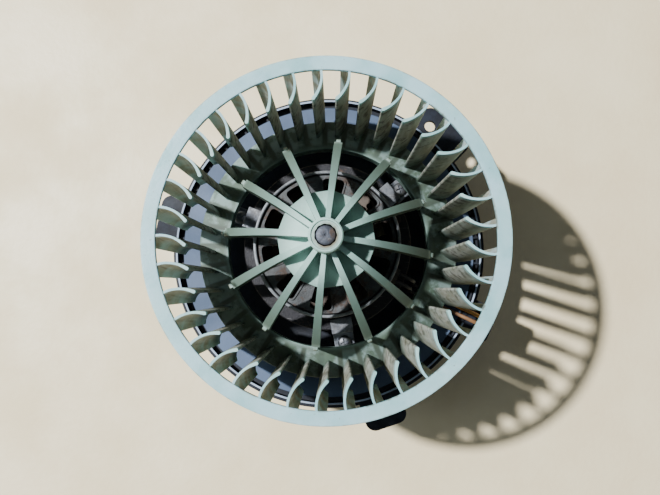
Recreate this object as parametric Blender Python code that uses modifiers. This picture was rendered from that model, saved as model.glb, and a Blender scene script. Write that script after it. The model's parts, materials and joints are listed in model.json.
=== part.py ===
"""Cabin blower: a one-moulding squirrel-cage wheel on a DC motor in a three-ear mounting flange.

Frame: +Z up along the rotor axis, origin at the centre of the motor cup's flat base.
Units: metres.  The rotor (wheel, shaft, armature) turns about Z; two carbon brushes slide
radially in their holders.
"""

import bmesh
import bpy
from math import cos, pi, radians, sin, sqrt
from mathutils import Matrix, Vector

# ---------------------------------------------------------------- clearances and tessellation
TOUCH_GAP = 0.0003        # between pieces that rest on or sit in each other
SHAFT_GAP = 0.0003        # between the shaft and whatever surrounds it
AIR_GAP = 0.0007          # between the armature and the magnets
RUNNING_GAP = 0.0035      # under the turning wheel, over the clip screws
INLET_GAP = 0.0026        # inside the turning wheel's lip, round the motor and its leads
WELD = 0.00001            # merge distance for turned profiles and curve caps
OVERLAP = 0.0006          # how far joined volumes reach into each other
CUT_MARGIN = 0.002        # how far a cutter reaches past the face it opens

BLADE_COUNT = 37
WHEEL_STEPS = 2 * BLADE_COUNT
LARGE_STEPS = 48
MEDIUM_STEPS = 24
SMALL_STEPS = 12
CORNER_PIECES = 3         # straight pieces in a rounded corner
WINDOW_PIECES = 3
MAGNET_PIECES = 10
CLIP_PIECES = 4
ISOLATOR_PIECES = 4
LEAD_PIECES = 2           # straight pieces between two points of a lead's route

# ---------------------------------------------------------------- shaft, bearings, armature
SHAFT_RADIUS = 0.0040
SHAFT_DOME = 0.0008
SHAFT_END_GAP = 0.0015        # between the shaft's rear end and the can's floor
SHAFT_TOP_DROP = 0.0004       # its front end below the boss's face
BEARING_WALL = 0.0037
BEARING_LENGTH = 0.0060
BEARING_CHAMFER = 0.0012
BEARING_CUP_WALL = 0.0014
RETAINER_THICKNESS = 0.0010
WASHER_REACH = 0.0030         # a thrust washer's rim beyond the shaft
WASHER_THICKNESS = 0.0010
HUB_CLIP_REACH = 0.0032
HUB_CLIP_THICKNESS = 0.0010

CORE_LENGTH = 0.038
CORE_SLOTS = 12
CORE_SLOT_WIDTH = 0.0024
CORE_SLOT_DEPTH = 0.0060
WINDING_INSET = 0.0025        # end turns inside the core's radius
WINDING_SHOULDER = 0.0016
WINDING_FRONT_LENGTH = 0.0070
WINDING_REAR_LENGTH = 0.0047
COMMUTATOR_WALL = 0.0062
COMMUTATOR_LENGTH = 0.0170
COMMUTATOR_GROOVE = 0.0007
COMMUTATOR_GROOVE_DEPTH = 0.0008
RISER_REACH = 0.0013
RISER_HEIGHT = 0.0015

# ---------------------------------------------------------------- motor can and ends
CAN_RADIUS = 0.0330
CAN_WALL = 0.0015
CAN_RIM_HEIGHT = 0.0018       # rim above the end shield
CAN_COLLAR_THICKNESS = 0.0015

SHIELD_THICKNESS = 0.0015
SHIELD_LIFT = 0.0062          # end shield's lower face over the commutator
SHIELD_WINDOWS = 10
WINDOW_FIRST_ANGLE = radians(12)
WINDOW_INNER_MARGIN = 0.0063  # from the bearing's cup
WINDOW_OUTER_MARGIN = 0.0017  # from the shield's rim
WINDOW_ARC = radians(20)

MAGNET_THICKNESS = 0.0080
MAGNET_ARC = radians(128)
MAGNET_OVERHANG = 0.0040      # past each end of the core
MAGNET_CLIP_ARC = radians(34)
MAGNET_CLIP_THICKNESS = 0.0012
POLE_ANGLE = radians(110)

# ---------------------------------------------------------------- brush gear
PLATE_LIFT = 0.0024           # brush plate over the commutator's lower end
PLATE_THICKNESS = 0.0016
PLATE_HOLE_GAP = 0.0019       # round the commutator
BRUSH_ANGLE = radians(20)
BRUSH_WIDTH = 0.0060
BRUSH_HEIGHT = 0.0054
HOLDER_WALL = 0.0009
HOLDER_STANDOFF = 0.0025      # from the commutator
HOLDER_RIM_GAP = 0.0043       # from the can's wall
SPRING_LENGTH = 0.0049
SPRING_WIRE = 0.0005
SPRING_RADIUS = 0.0019
SPRING_TURNS = 4
SPRING_POINTS_PER_TURN = 8
CHOKE_RADIUS = 0.0026
CHOKE_TURNS = 5
CHOKE_LENGTH = 0.0100
CHOKE_WIRE_DEPTH = 0.0006
CHOKE_CORE_RADIUS = 0.0014
CHOKE_ANGLES = (radians(62), radians(-38))
CAPACITOR_SIZE = (0.0085, 0.0050, 0.0065)
CAPACITOR_ANGLE = radians(245)
SUPPRESSOR_RIM_GAP = 0.0090   # from the can's wall to the middle of a choke or the capacitor

# ---------------------------------------------------------------- motor cup and suspension
CUP_WALL = 0.0022
CUP_FLOOR = 0.0025
CUP_TOP_DROP = 0.0075         # rim below the leads' way out of the can
SHOULDER_REACH = 0.0025       # ledge on the cup, under the flange
SHOULDER_HEIGHT = 0.0020
ISOLATOR_ANGLES = (radians(100), radians(220), radians(340))
ISOLATOR_ARC = radians(26)
ISOLATOR_THICKNESS = 0.0030
ISOLATOR_OVERRUN = 0.0060     # past the front end of the core
DAMPER_INNER_RADIUS = 0.0090
DAMPER_OUTER_RADIUS = 0.0170
DAMPER_HEIGHT = 0.0024
CLIP_ANGLES = (radians(40), radians(160), radians(-80))
CLIP_THICKNESS = 0.0012
CLIP_SIDE_MARGIN = 0.0016     # beside the screw's head
CLIP_END_MARGIN = 0.0045      # beyond the screw's centre
POST_STANDOFF = 0.0072        # post's centre from the cup
POST_WALL = 0.0024
SCREW_SHANK_RADIUS = 0.0018
SCREW_HEAD_REACH = 0.0016
SCREW_HEAD_HEIGHT = 0.0022
SCREW_HEAD_EDGE = 0.0010
SCREW_DEPTH = 0.0070          # how far the shank reaches into its post
SCREW_FLOOR = 0.0010          # plastic left under the shank, above the flange

# ---------------------------------------------------------------- leads and connector
LEAD_ANGLE = radians(-25)
LEAD_DIAMETER = 0.0022
LEAD_PARTING = 0.0014         # clear space between the two leads
LEAD_EXIT_DROP = 0.0052       # way out of the can below the end shield
LEAD_ENTRY = 0.0030           # straight length on each side of the can's wall
LEAD_BEND = 0.0100            # height of the bends outside the can
LEAD_SWEEP = 0.0080           # how far out the lower bend runs
LEAD_SLOT_MARGIN = 0.0015     # round the leads where they pass through the tab
GROMMET_WALL = 0.0010
GROMMET_REACH = 0.0020        # past each face of the can's wall
CONNECTOR_WIDTH = 0.0150
CONNECTOR_DEPTH = 0.0090
CONNECTOR_HEIGHT = 0.0180
CONNECTOR_WALL = 0.0012
CONNECTOR_ROOF = 0.0063
CONNECTOR_STANDOFF = 0.0009   # from the flange's edge
TAB_MARGIN = 0.0015           # beside the connector
TAB_END_MARGIN = 0.0022       # beyond it
TERMINAL_OFFSET = 0.0034      # from the connector's middle
TERMINAL_COVER = 0.0012
TERMINAL_WIDTH = 0.0028
TERMINAL_THICKNESS = 0.0008
TERMINAL_LENGTH = 0.0090

# ---------------------------------------------------------------- wheel, built round the motor
HUB_LIFT = 0.0063             # boss over the bearing's cup
HUB_LENGTH = 0.0300
HUB_BORE_GAP = 0.0004
HUB_WALL = 0.00253
HUB_STEP_WIDTH = 0.0015
HUB_STEP_DEPTH = 0.0006
DISC_REACH = 0.0130           # beyond the boss
DISC_LIFT = 0.0120            # disc's edge over the boss's lower end
DISC_RISE = 0.0025            # the cone's height
DISC_THICKNESS = 0.0018
DISC_ROOT = 0.0050            # where the ribs start to hang below the disc

RING_DROP = 0.0110            # ring's face below the boss's
RING_WIDTH = 0.0060
RING_THICKNESS = 0.0020
RING_OVERHANG = 0.0012        # ring's rim beyond the blades' tails
CAGE_DEPTH = 0.0520           # lip below the ring's face
BACK_DROP = 0.0050            # back plate's outer edge below its lip
BACK_THICKNESS = 0.0020
BACK_REACH = 0.0045           # back plate's edge beyond the blades' leading edges
COLLAR_THICKNESS = 0.0015
COLLAR_HEIGHT = 0.0075

BLADE_FIRST_ANGLE = radians(81.8)
BLADE_THICKNESS = 0.0013
BLADE_FOOT_MARGIN = 0.0049    # from the collar to the blades' feet
BLADE_ENTRY_REACH = 0.0100    # radial length inside the radial point of the blade
BLADE_EXIT_REACH = 0.0066     # and outside it
BLADE_ENTRY_ANGLE = radians(41.8)
BLADE_EXIT_ANGLE = radians(66.4)
BLADE_ENTRY_PIECES = 2
BLADE_EXIT_PIECES = 3
BLADE_FOOT_SCALE = 0.935      # the cage narrows this much down to the back plate
BLADE_TOP_DROP = 0.0004       # top edge below the ring's face

RIB_COUNT = 12
RIB_FIRST_ANGLE = radians(83.7)
RIB_WIDTH_INNER = 0.0020
RIB_WIDTH_OUTER = 0.0036
RIB_TOP_DROP = 0.0065         # below the boss's face
RIB_TIP_DROP = 0.0310         # nib below the ring's face
RIB_TIP_REACH = 0.0005        # nib beyond the lip
RIB_NIB = 0.0030
RIB_FOOT_DEPTH = 0.0020       # how far the ribs run down into the collar
RIB_FOOT_INSET = 0.0010
RIB_HEEL = (0.0028, 0.0060)   # inside the lip, and below the nib
RIB_CREST = ((0.32, 0.14), (0.58, 0.41))      # share of the span, share of the fall
RIB_BELLY = ((0.69, 0.83), (0.38, 0.465))

# ---------------------------------------------------------------- mounting flange
FLANGE_THICKNESS = 0.0025
STEP_MARGIN = 0.0100          # from the posts' circle
STEP_WIDTH = 0.0168
STEP_HEIGHT = 0.0025
WALL_MARGIN = 0.0024          # from the step to the thin upright wall
WALL_THICKNESS = 0.0010
WALL_HEIGHT = 0.0050
WALL_SILL = 0.0010            # what stays of the wall under the leads
EDGE_WIDTH = 0.0022           # flange beyond the wall
EARS = (                      # centre angle, reach beyond the flange, half width, hole's shift
    (radians(46), 0.0121, 0.0150, 0.0070),
    (radians(-71), 0.0141, 0.0105, 0.0),
    (radians(168.5), 0.0096, 0.0120, 0.0),
)
EAR_CORNER = 0.0050
EAR_TUCK = 0.00002            # ears are this much thinner than the flange they merge into
EAR_HOLE_RADIUS = 0.00275
EAR_HOLE_INSET = 0.0085       # from the ear's outer end to its hole

# ---------------------------------------------------------------- radii that follow
SHAFT_HOLE_RADIUS = SHAFT_RADIUS + SHAFT_GAP
WASHER_RADIUS = SHAFT_RADIUS + WASHER_REACH
HUB_CLIP_RADIUS = SHAFT_RADIUS + HUB_CLIP_REACH
BEARING_RADIUS = SHAFT_HOLE_RADIUS + BEARING_WALL
BEARING_CUP_INNER = BEARING_RADIUS + TOUCH_GAP
BEARING_CUP_OUTER = BEARING_CUP_INNER + BEARING_CUP_WALL
CAN_INNER_RADIUS = CAN_RADIUS - CAN_WALL
SHIELD_RADIUS = CAN_INNER_RADIUS - TOUCH_GAP
WINDOW_INNER_RADIUS = BEARING_CUP_OUTER + WINDOW_INNER_MARGIN
WINDOW_OUTER_RADIUS = SHIELD_RADIUS - WINDOW_OUTER_MARGIN
MAGNET_OUTER_RADIUS = CAN_INNER_RADIUS - TOUCH_GAP
MAGNET_INNER_RADIUS = MAGNET_OUTER_RADIUS - MAGNET_THICKNESS
CORE_RADIUS = MAGNET_INNER_RADIUS - AIR_GAP
WINDING_RADIUS = CORE_RADIUS - WINDING_INSET
COMMUTATOR_RADIUS = SHAFT_HOLE_RADIUS + COMMUTATOR_WALL
PLATE_HOLE_RADIUS = COMMUTATOR_RADIUS + PLATE_HOLE_GAP
HOLDER_INNER_RADIUS = COMMUTATOR_RADIUS + HOLDER_STANDOFF
HOLDER_OUTER_RADIUS = CAN_INNER_RADIUS - HOLDER_RIM_GAP
SPRING_END = HOLDER_OUTER_RADIUS - HOLDER_WALL - TOUCH_GAP - SPRING_WIRE
SPRING_START = SPRING_END - SPRING_LENGTH
BRUSH_INNER_RADIUS = COMMUTATOR_RADIUS + TOUCH_GAP
BRUSH_LENGTH = SPRING_START - SPRING_WIRE - TOUCH_GAP - BRUSH_INNER_RADIUS
SUPPRESSOR_RADIUS = CAN_INNER_RADIUS - SUPPRESSOR_RIM_GAP

CUP_INNER_RADIUS = CAN_RADIUS + ISOLATOR_THICKNESS + 2 * TOUCH_GAP
CUP_RADIUS = CUP_INNER_RADIUS + CUP_WALL
POST_CIRCLE_RADIUS = CUP_RADIUS + POST_STANDOFF
POST_RADIUS = SCREW_SHANK_RADIUS + POST_WALL
SCREW_HOLE_RADIUS = SCREW_SHANK_RADIUS + TOUCH_GAP
SCREW_HEAD_RADIUS = SCREW_SHANK_RADIUS + SCREW_HEAD_REACH
CLIP_WIDTH = 2 * (SCREW_HEAD_RADIUS + CLIP_SIDE_MARGIN)
CLIP_FOOT_END = POST_CIRCLE_RADIUS + CLIP_END_MARGIN
CLIP_RISER_INNER = CUP_RADIUS + 2 * TOUCH_GAP
LEAD_SPACING = LEAD_DIAMETER + LEAD_PARTING
LEAD_DOWN_RADIUS = CUP_RADIUS + 2 * CLIP_THICKNESS + LEAD_DIAMETER
GROMMET_HOLE_RADIUS = (LEAD_SPACING + LEAD_DIAMETER) / 2 + GROMMET_WALL + TOUCH_GAP

HUB_BORE_RADIUS = SHAFT_RADIUS + HUB_BORE_GAP
HUB_RADIUS = HUB_BORE_RADIUS + HUB_WALL
HUB_STEP_RADIUS = HUB_BORE_RADIUS + HUB_STEP_WIDTH
HUB_MIDDLE_RADIUS = (HUB_RADIUS + HUB_BORE_RADIUS) / 2
DISC_RADIUS = HUB_RADIUS + DISC_REACH
LIP_RADIUS = LEAD_DOWN_RADIUS + LEAD_DIAMETER / 2 + INLET_GAP
COLLAR_OUTER_RADIUS = LIP_RADIUS + COLLAR_THICKNESS
BLADE_TIP_RADIUS = (COLLAR_OUTER_RADIUS + BLADE_FOOT_MARGIN) / BLADE_FOOT_SCALE
BLADE_APEX_RADIUS = BLADE_TIP_RADIUS + BLADE_ENTRY_REACH
BLADE_TAIL_RADIUS = BLADE_APEX_RADIUS + BLADE_EXIT_REACH
BLADE_ENTRY_ARC = BLADE_ENTRY_REACH / sin(BLADE_ENTRY_ANGLE)
BLADE_EXIT_ARC = BLADE_EXIT_REACH / sin(BLADE_EXIT_ANGLE)
RING_OUTER_RADIUS = BLADE_TAIL_RADIUS + RING_OVERHANG
RING_INNER_RADIUS = RING_OUTER_RADIUS - RING_WIDTH
BACK_OUTER_RADIUS = BLADE_TIP_RADIUS + BACK_REACH
RIB_TIP_RADIUS = LIP_RADIUS + RIB_TIP_REACH

STEP_INNER_RADIUS = POST_CIRCLE_RADIUS + STEP_MARGIN
STEP_OUTER_RADIUS = STEP_INNER_RADIUS + STEP_WIDTH
WALL_INNER_RADIUS = STEP_OUTER_RADIUS + WALL_MARGIN
WALL_OUTER_RADIUS = WALL_INNER_RADIUS + WALL_THICKNESS
FLANGE_RADIUS = WALL_OUTER_RADIUS + EDGE_WIDTH
CONNECTOR_RADIUS = FLANGE_RADIUS + CONNECTOR_STANDOFF + CONNECTOR_DEPTH / 2
TAB_REACH = CONNECTOR_RADIUS + CONNECTOR_DEPTH / 2 + TAB_END_MARGIN

# ---------------------------------------------------------------- heights that follow, upwards
CAN_BOTTOM_Z = CUP_FLOOR + DAMPER_HEIGHT + 2 * TOUCH_GAP
CAN_FLOOR_Z = CAN_BOTTOM_Z + CAN_WALL
SHAFT_BOTTOM_Z = CAN_FLOOR_Z + SHAFT_END_GAP
REAR_BEARING_Z = CAN_FLOOR_Z + TOUCH_GAP
REAR_BEARING_TOP_Z = REAR_BEARING_Z + BEARING_LENGTH
REAR_WASHER_Z = REAR_BEARING_TOP_Z + TOUCH_GAP
REAR_WINDING_Z = REAR_WASHER_Z + WASHER_THICKNESS + TOUCH_GAP
CORE_BOTTOM_Z = REAR_WINDING_Z + WINDING_REAR_LENGTH + TOUCH_GAP
CORE_TOP_Z = CORE_BOTTOM_Z + CORE_LENGTH
MAGNET_BOTTOM_Z = CORE_BOTTOM_Z - MAGNET_OVERHANG
MAGNET_TOP_Z = CORE_TOP_Z + MAGNET_OVERHANG
COMMUTATOR_BOTTOM_Z = CORE_TOP_Z + WINDING_FRONT_LENGTH + 2 * TOUCH_GAP
COMMUTATOR_TOP_Z = COMMUTATOR_BOTTOM_Z + COMMUTATOR_LENGTH
PLATE_Z = COMMUTATOR_BOTTOM_Z + PLATE_LIFT
PLATE_TOP_Z = PLATE_Z + PLATE_THICKNESS
HOLDER_CHANNEL_WIDTH = BRUSH_WIDTH + 2 * TOUCH_GAP
HOLDER_CHANNEL_HEIGHT = BRUSH_HEIGHT + 2 * TOUCH_GAP
HOLDER_WIDTH = HOLDER_CHANNEL_WIDTH + 2 * HOLDER_WALL
HOLDER_HEIGHT = HOLDER_CHANNEL_HEIGHT + 2 * HOLDER_WALL
BRUSH_Z = PLATE_TOP_Z + TOUCH_GAP + HOLDER_HEIGHT / 2
SHIELD_BOTTOM_Z = COMMUTATOR_TOP_Z + SHIELD_LIFT
SHIELD_TOP_Z = SHIELD_BOTTOM_Z + SHIELD_THICKNESS
CAN_TOP_Z = SHIELD_TOP_Z + CAN_RIM_HEIGHT
FRONT_BEARING_Z = SHIELD_BOTTOM_Z + RETAINER_THICKNESS + TOUCH_GAP
FRONT_BEARING_TOP_Z = FRONT_BEARING_Z + BEARING_LENGTH
BEARING_CUP_CEILING_Z = FRONT_BEARING_TOP_Z + TOUCH_GAP
BEARING_CUP_TOP_Z = BEARING_CUP_CEILING_Z + BEARING_CUP_WALL

HUB_BOTTOM_Z = BEARING_CUP_TOP_Z + HUB_LIFT
HUB_TOP_Z = HUB_BOTTOM_Z + HUB_LENGTH
SHAFT_TOP_Z = HUB_TOP_Z - SHAFT_TOP_DROP
DISC_EDGE_Z = HUB_BOTTOM_Z + DISC_LIFT
DISC_CENTRE_Z = DISC_EDGE_Z + DISC_RISE
RING_TOP_Z = HUB_TOP_Z - RING_DROP
LIP_Z = RING_TOP_Z - CAGE_DEPTH
BACK_OUTER_Z = LIP_Z - BACK_DROP
COLLAR_BOTTOM_Z = LIP_Z - COLLAR_HEIGHT
RIB_TOP_Z = HUB_TOP_Z - RIB_TOP_DROP
RIB_TIP_Z = RING_TOP_Z - RIB_TIP_DROP

LEAD_EXIT_Z = SHIELD_BOTTOM_Z - LEAD_EXIT_DROP
CUP_TOP_Z = LEAD_EXIT_Z - CUP_TOP_DROP
CAN_COLLAR_Z = CUP_TOP_Z + TOUCH_GAP
CAN_COLLAR_TOP_Z = CAN_COLLAR_Z + CAN_COLLAR_THICKNESS
CLIP_HOOK_Z = CAN_COLLAR_TOP_Z + TOUCH_GAP
SCREW_HEAD_TOP_Z = COLLAR_BOTTOM_Z - RUNNING_GAP
SCREW_HEAD_Z = SCREW_HEAD_TOP_Z - SCREW_HEAD_HEIGHT
CLIP_FOOT_Z = SCREW_HEAD_Z - TOUCH_GAP - CLIP_THICKNESS
POST_TOP_Z = CLIP_FOOT_Z - TOUCH_GAP
SCREW_TIP_Z = CLIP_FOOT_Z - SCREW_DEPTH
FLANGE_TOP_Z = POST_TOP_Z - SCREW_DEPTH - SCREW_FLOOR
FLANGE_BOTTOM_Z = FLANGE_TOP_Z - FLANGE_THICKNESS
STEP_TOP_Z = FLANGE_TOP_Z + STEP_HEIGHT
CONNECTOR_TOP_Z = FLANGE_BOTTOM_Z - TOUCH_GAP


# ================================================================ helpers
def clear_scene():
    for obj in list(bpy.data.objects):
        bpy.data.objects.remove(obj, do_unlink=True)


def new_collection(name):
    collection = bpy.data.collections.new(name)
    bpy.context.scene.collection.children.link(collection)
    return collection


def material(name, colour, roughness, metallic=0.0):
    mat = bpy.data.materials.new(name)
    mat.use_nodes = True
    shader = mat.node_tree.nodes["Principled BSDF"]
    shader.inputs["Base Color"].default_value = (*colour, 1.0)
    shader.inputs["Roughness"].default_value = roughness
    shader.inputs["Metallic"].default_value = metallic
    mat.diffuse_color = (*colour, 1.0)
    return mat


def link(name, mesh, collection, mat=None):
    obj = bpy.data.objects.new(name, mesh)
    collection.objects.link(obj)
    if mat is not None:
        mesh.materials.clear()
        mesh.materials.append(mat)
    return obj


def as_cutter(obj):
    """Move a helper volume to the cutters collection, where no part is built from it."""
    for collection in list(obj.users_collection):
        collection.objects.unlink(obj)
    CUTTERS.objects.link(obj)
    obj.hide_render = True
    obj.display_type = "WIRE"
    return obj


def mesh_from(bm, name):
    mesh = bpy.data.meshes.new(name)
    bm.to_mesh(mesh)
    bm.free()
    return mesh


def smooth(obj, angle=radians(35)):
    obj.data.shade_smooth()
    obj.data.set_sharp_from_angle(angle=angle)
    return obj


def polar(radius, angle, z=0.0):
    return Vector((radius * cos(angle), radius * sin(angle), z))


def turned(name, profile, steps, mat=None, closed=True):
    """Turn a profile of (radius, z) points about Z.  The points run clockwise in the XZ plane."""
    bm = bmesh.new()
    corners = [bm.verts.new((radius, 0.0, z)) for radius, z in profile]
    for start, end in zip(corners, corners[1:]):
        bm.edges.new((start, end))
    if closed:
        bm.edges.new((corners[-1], corners[0]))
    obj = link(name, mesh_from(bm, name), PARTS, mat)
    screw = obj.modifiers.new("turn", "SCREW")
    screw.axis = "Z"
    screw.steps = steps
    screw.render_steps = steps
    screw.use_merge_vertices = True
    screw.merge_threshold = WELD
    screw.use_smooth_shade = True
    return obj


def ring(name, inner, outer, bottom, top, steps, mat=None):
    profile = [(inner, top), (outer, top), (outer, bottom), (inner, bottom)]
    return turned(name, profile, steps, mat)


def drum(name, radius, bottom, top, steps, mat=None):
    """A plain cylinder about Z."""
    bm = bmesh.new()
    bmesh.ops.create_cone(bm, cap_ends=True, cap_tris=False, segments=steps,
                          radius1=radius, radius2=radius, depth=top - bottom)
    obj = link(name, mesh_from(bm, name), PARTS, mat)
    obj.location.z = (bottom + top) / 2
    return smooth(obj)


def block(name, size, mat=None):
    """A box of the given size about its own centre."""
    bm = bmesh.new()
    bmesh.ops.create_cube(bm, size=1.0)
    bmesh.ops.scale(bm, vec=size, verts=bm.verts)
    return link(name, mesh_from(bm, name), PARTS, mat)


def place(obj, radius, angle, z, shift=0.0):
    """Stand an object at a polar place, its local X pointing outwards."""
    outward = Vector((cos(angle), sin(angle), 0.0))
    sideways = Vector((-sin(angle), cos(angle), 0.0))
    obj.location = outward * radius + sideways * shift + Vector((0.0, 0.0, z))
    obj.rotation_euler = (0.0, 0.0, angle)
    return obj


def flat_outline(name, points, thickness, mat=None):
    """A flat plate with the given outline in XY, centred on Z = 0, as a mesh."""
    curve = bpy.data.curves.new(name + "_outline", "CURVE")
    curve.dimensions = "2D"
    curve.fill_mode = "BOTH"
    curve.extrude = thickness / 2
    spline = curve.splines.new("POLY")
    spline.points.add(len(points) - 1)
    for point, (x, y) in zip(spline.points, points):
        point.co = (x, y, 0.0, 1.0)
    spline.use_cyclic_u = True
    return curve_to_mesh(name, curve, mat)


def curve_to_mesh(name, curve, mat=None):
    """Turn a curve into a mesh object with its caps welded on."""
    source = bpy.data.objects.new(name + "_curve", curve)
    PARTS.objects.link(source)
    depsgraph = bpy.context.evaluated_depsgraph_get()
    mesh = bpy.data.meshes.new_from_object(source.evaluated_get(depsgraph))
    matrix = source.matrix_world.copy()
    bpy.data.objects.remove(source, do_unlink=True)
    bm = bmesh.new()
    bm.from_mesh(mesh)
    bmesh.ops.remove_doubles(bm, verts=bm.verts, dist=WELD)
    bmesh.ops.recalc_face_normals(bm, faces=bm.faces)
    bm.to_mesh(mesh)
    bm.free()
    mesh.name = name
    obj = link(name, mesh, PARTS, mat)
    obj.matrix_world = matrix
    return obj


def arc_points(radius, start, end, pieces):
    return [(radius * cos(start + (end - start) * i / pieces),
             radius * sin(start + (end - start) * i / pieces)) for i in range(pieces + 1)]


def arc_block(name, inner, outer, centre, arc, bottom, top, pieces, mat=None):
    """A block bent round the axis, between two radii and two angles."""
    start = centre - arc / 2
    end = centre + arc / 2
    outline = arc_points(outer, start, end, pieces) + arc_points(inner, end, start, pieces)
    obj = flat_outline(name, outline, top - bottom, mat)
    obj.location.z = (bottom + top) / 2
    return obj


def boolean(obj, other, operation):
    modifier = obj.modifiers.new(operation.lower(), "BOOLEAN")
    modifier.operation = operation
    modifier.solver = "EXACT"
    modifier.object = as_cutter(other)
    return obj


def joined(name, objects):
    """Gather separate volumes into one helper object, so that one Boolean takes them all."""
    depsgraph = bpy.context.evaluated_depsgraph_get()
    bm = bmesh.new()
    for obj in objects:
        part = bpy.data.meshes.new_from_object(obj.evaluated_get(depsgraph))
        part.transform(obj.matrix_world)
        bm.from_mesh(part)
        bpy.data.meshes.remove(part)
    for obj in objects:
        bpy.data.objects.remove(obj, do_unlink=True)
    return link(name, mesh_from(bm, name), PARTS)


def copies_round(name, make, angles):
    """Volumes from make(), one at each angle about Z, gathered into one helper object."""
    pieces = []
    for index, angle in enumerate(angles):
        piece = make(name + "_" + str(index))
        piece.rotation_euler.z = angle
        pieces.append(piece)
    bpy.context.view_layer.update()
    return joined(name, pieces)


def evenly(count, first=0.0):
    return [first + 2 * pi * index / count for index in range(count)]


# ================================================================ wheel
def back_plate_z(radius):
    """Height of the back plate's upper face at a radius; level outside its edge."""
    share = (min(radius, BACK_OUTER_RADIUS) - LIP_RADIUS) / (BACK_OUTER_RADIUS - LIP_RADIUS)
    return LIP_Z + (BACK_OUTER_Z - LIP_Z) * share


def camber_line():
    """Blade section at the ring: two arcs that meet where the blade is radial, at angle 0."""
    points = []
    for index in range(BLADE_ENTRY_PIECES):
        back = BLADE_ENTRY_REACH * (1 - index / BLADE_ENTRY_PIECES)
        side = BLADE_ENTRY_ARC - sqrt(BLADE_ENTRY_ARC ** 2 - back ** 2)
        points.append((BLADE_APEX_RADIUS - back, side))
    for index in range(BLADE_EXIT_PIECES + 1):
        ahead = BLADE_EXIT_REACH * index / BLADE_EXIT_PIECES
        side = BLADE_EXIT_ARC - sqrt(BLADE_EXIT_ARC ** 2 - ahead ** 2)
        points.append((BLADE_APEX_RADIUS + ahead, side))
    return points


def blade(name):
    """One blade as a thin sheet that narrows towards the axis, thickened about its middle."""
    bm = bmesh.new()
    top_z = RING_TOP_Z - BLADE_TOP_DROP
    upper = [bm.verts.new((x, y, top_z)) for x, y in camber_line()]
    edges = [bm.edges.new(pair) for pair in zip(upper, upper[1:])]
    made = bmesh.ops.extrude_edge_only(bm, edges=edges)["geom"]
    for vert in (item for item in made if isinstance(item, bmesh.types.BMVert)):
        vert.co.x *= BLADE_FOOT_SCALE
        vert.co.y *= BLADE_FOOT_SCALE
        vert.co.z = back_plate_z(vert.co.xy.length) - BACK_THICKNESS / 2
    bmesh.ops.recalc_face_normals(bm, faces=bm.faces)
    obj = link(name, mesh_from(bm, name), PARTS)
    solid = obj.modifiers.new("wall", "SOLIDIFY")
    solid.thickness = BLADE_THICKNESS
    solid.offset = 0.0
    return obj


def wheel_cage(mat):
    """Outlet ring, blades and back plate."""
    cage = ring("wheel_cage", RING_INNER_RADIUS, RING_OUTER_RADIUS,
                RING_TOP_Z - RING_THICKNESS, RING_TOP_Z, WHEEL_STEPS, mat)
    inner = COLLAR_OUTER_RADIUS + TOUCH_GAP
    profile = [(inner, back_plate_z(inner)),
               (BACK_OUTER_RADIUS, BACK_OUTER_Z),
               (BACK_OUTER_RADIUS, BACK_OUTER_Z - BACK_THICKNESS),
               (inner, back_plate_z(inner) - BACK_THICKNESS)]
    boolean(cage, copies_round("blades", blade, evenly(BLADE_COUNT, BLADE_FIRST_ANGLE)), "UNION")
    boolean(cage, turned("back_plate", profile, WHEEL_STEPS), "UNION")
    return cage


def rib_point(share, fall):
    """A point between the rib's root and its nib, from shares of its span and of its fall."""
    return (HUB_MIDDLE_RADIUS + (RIB_TIP_RADIUS - HUB_MIDDLE_RADIUS) * share,
            RIB_TOP_Z + (RIB_TIP_Z - RIB_TOP_Z) * fall)


def rib(name):
    """A rib as a flat beam that arches down from the hub, widening outwards."""
    heel_inset, heel_drop = RIB_HEEL
    outline = [
        (HUB_MIDDLE_RADIUS, RIB_TOP_Z),
        *(rib_point(*knot) for knot in RIB_CREST),
        (RIB_TIP_RADIUS - RIB_NIB, RIB_TIP_Z + RIB_NIB),
        (RIB_TIP_RADIUS, RIB_TIP_Z),
        (LIP_RADIUS + COLLAR_THICKNESS / 2, LIP_Z - RIB_FOOT_DEPTH),
        (LIP_RADIUS - RIB_FOOT_INSET, LIP_Z - RIB_FOOT_DEPTH),
        (LIP_RADIUS - heel_inset, RIB_TIP_Z - heel_drop),
        *(rib_point(*knot) for knot in RIB_BELLY),
        (HUB_RADIUS + DISC_ROOT, DISC_EDGE_Z - DISC_THICKNESS),
        (HUB_MIDDLE_RADIUS, DISC_EDGE_Z - DISC_THICKNESS),
    ]
    obj = flat_outline(name, outline, 1.0)
    span = RIB_TIP_RADIUS - HUB_MIDDLE_RADIUS
    for vert in obj.data.vertices:
        share = (vert.co.x - HUB_MIDDLE_RADIUS) / span
        width = RIB_WIDTH_INNER + (RIB_WIDTH_OUTER - RIB_WIDTH_INNER) * share
        side = 1 if vert.co.z > 0 else -1
        vert.co = (vert.co.x, -side * width / 2, vert.co.y)
    return obj


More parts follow.
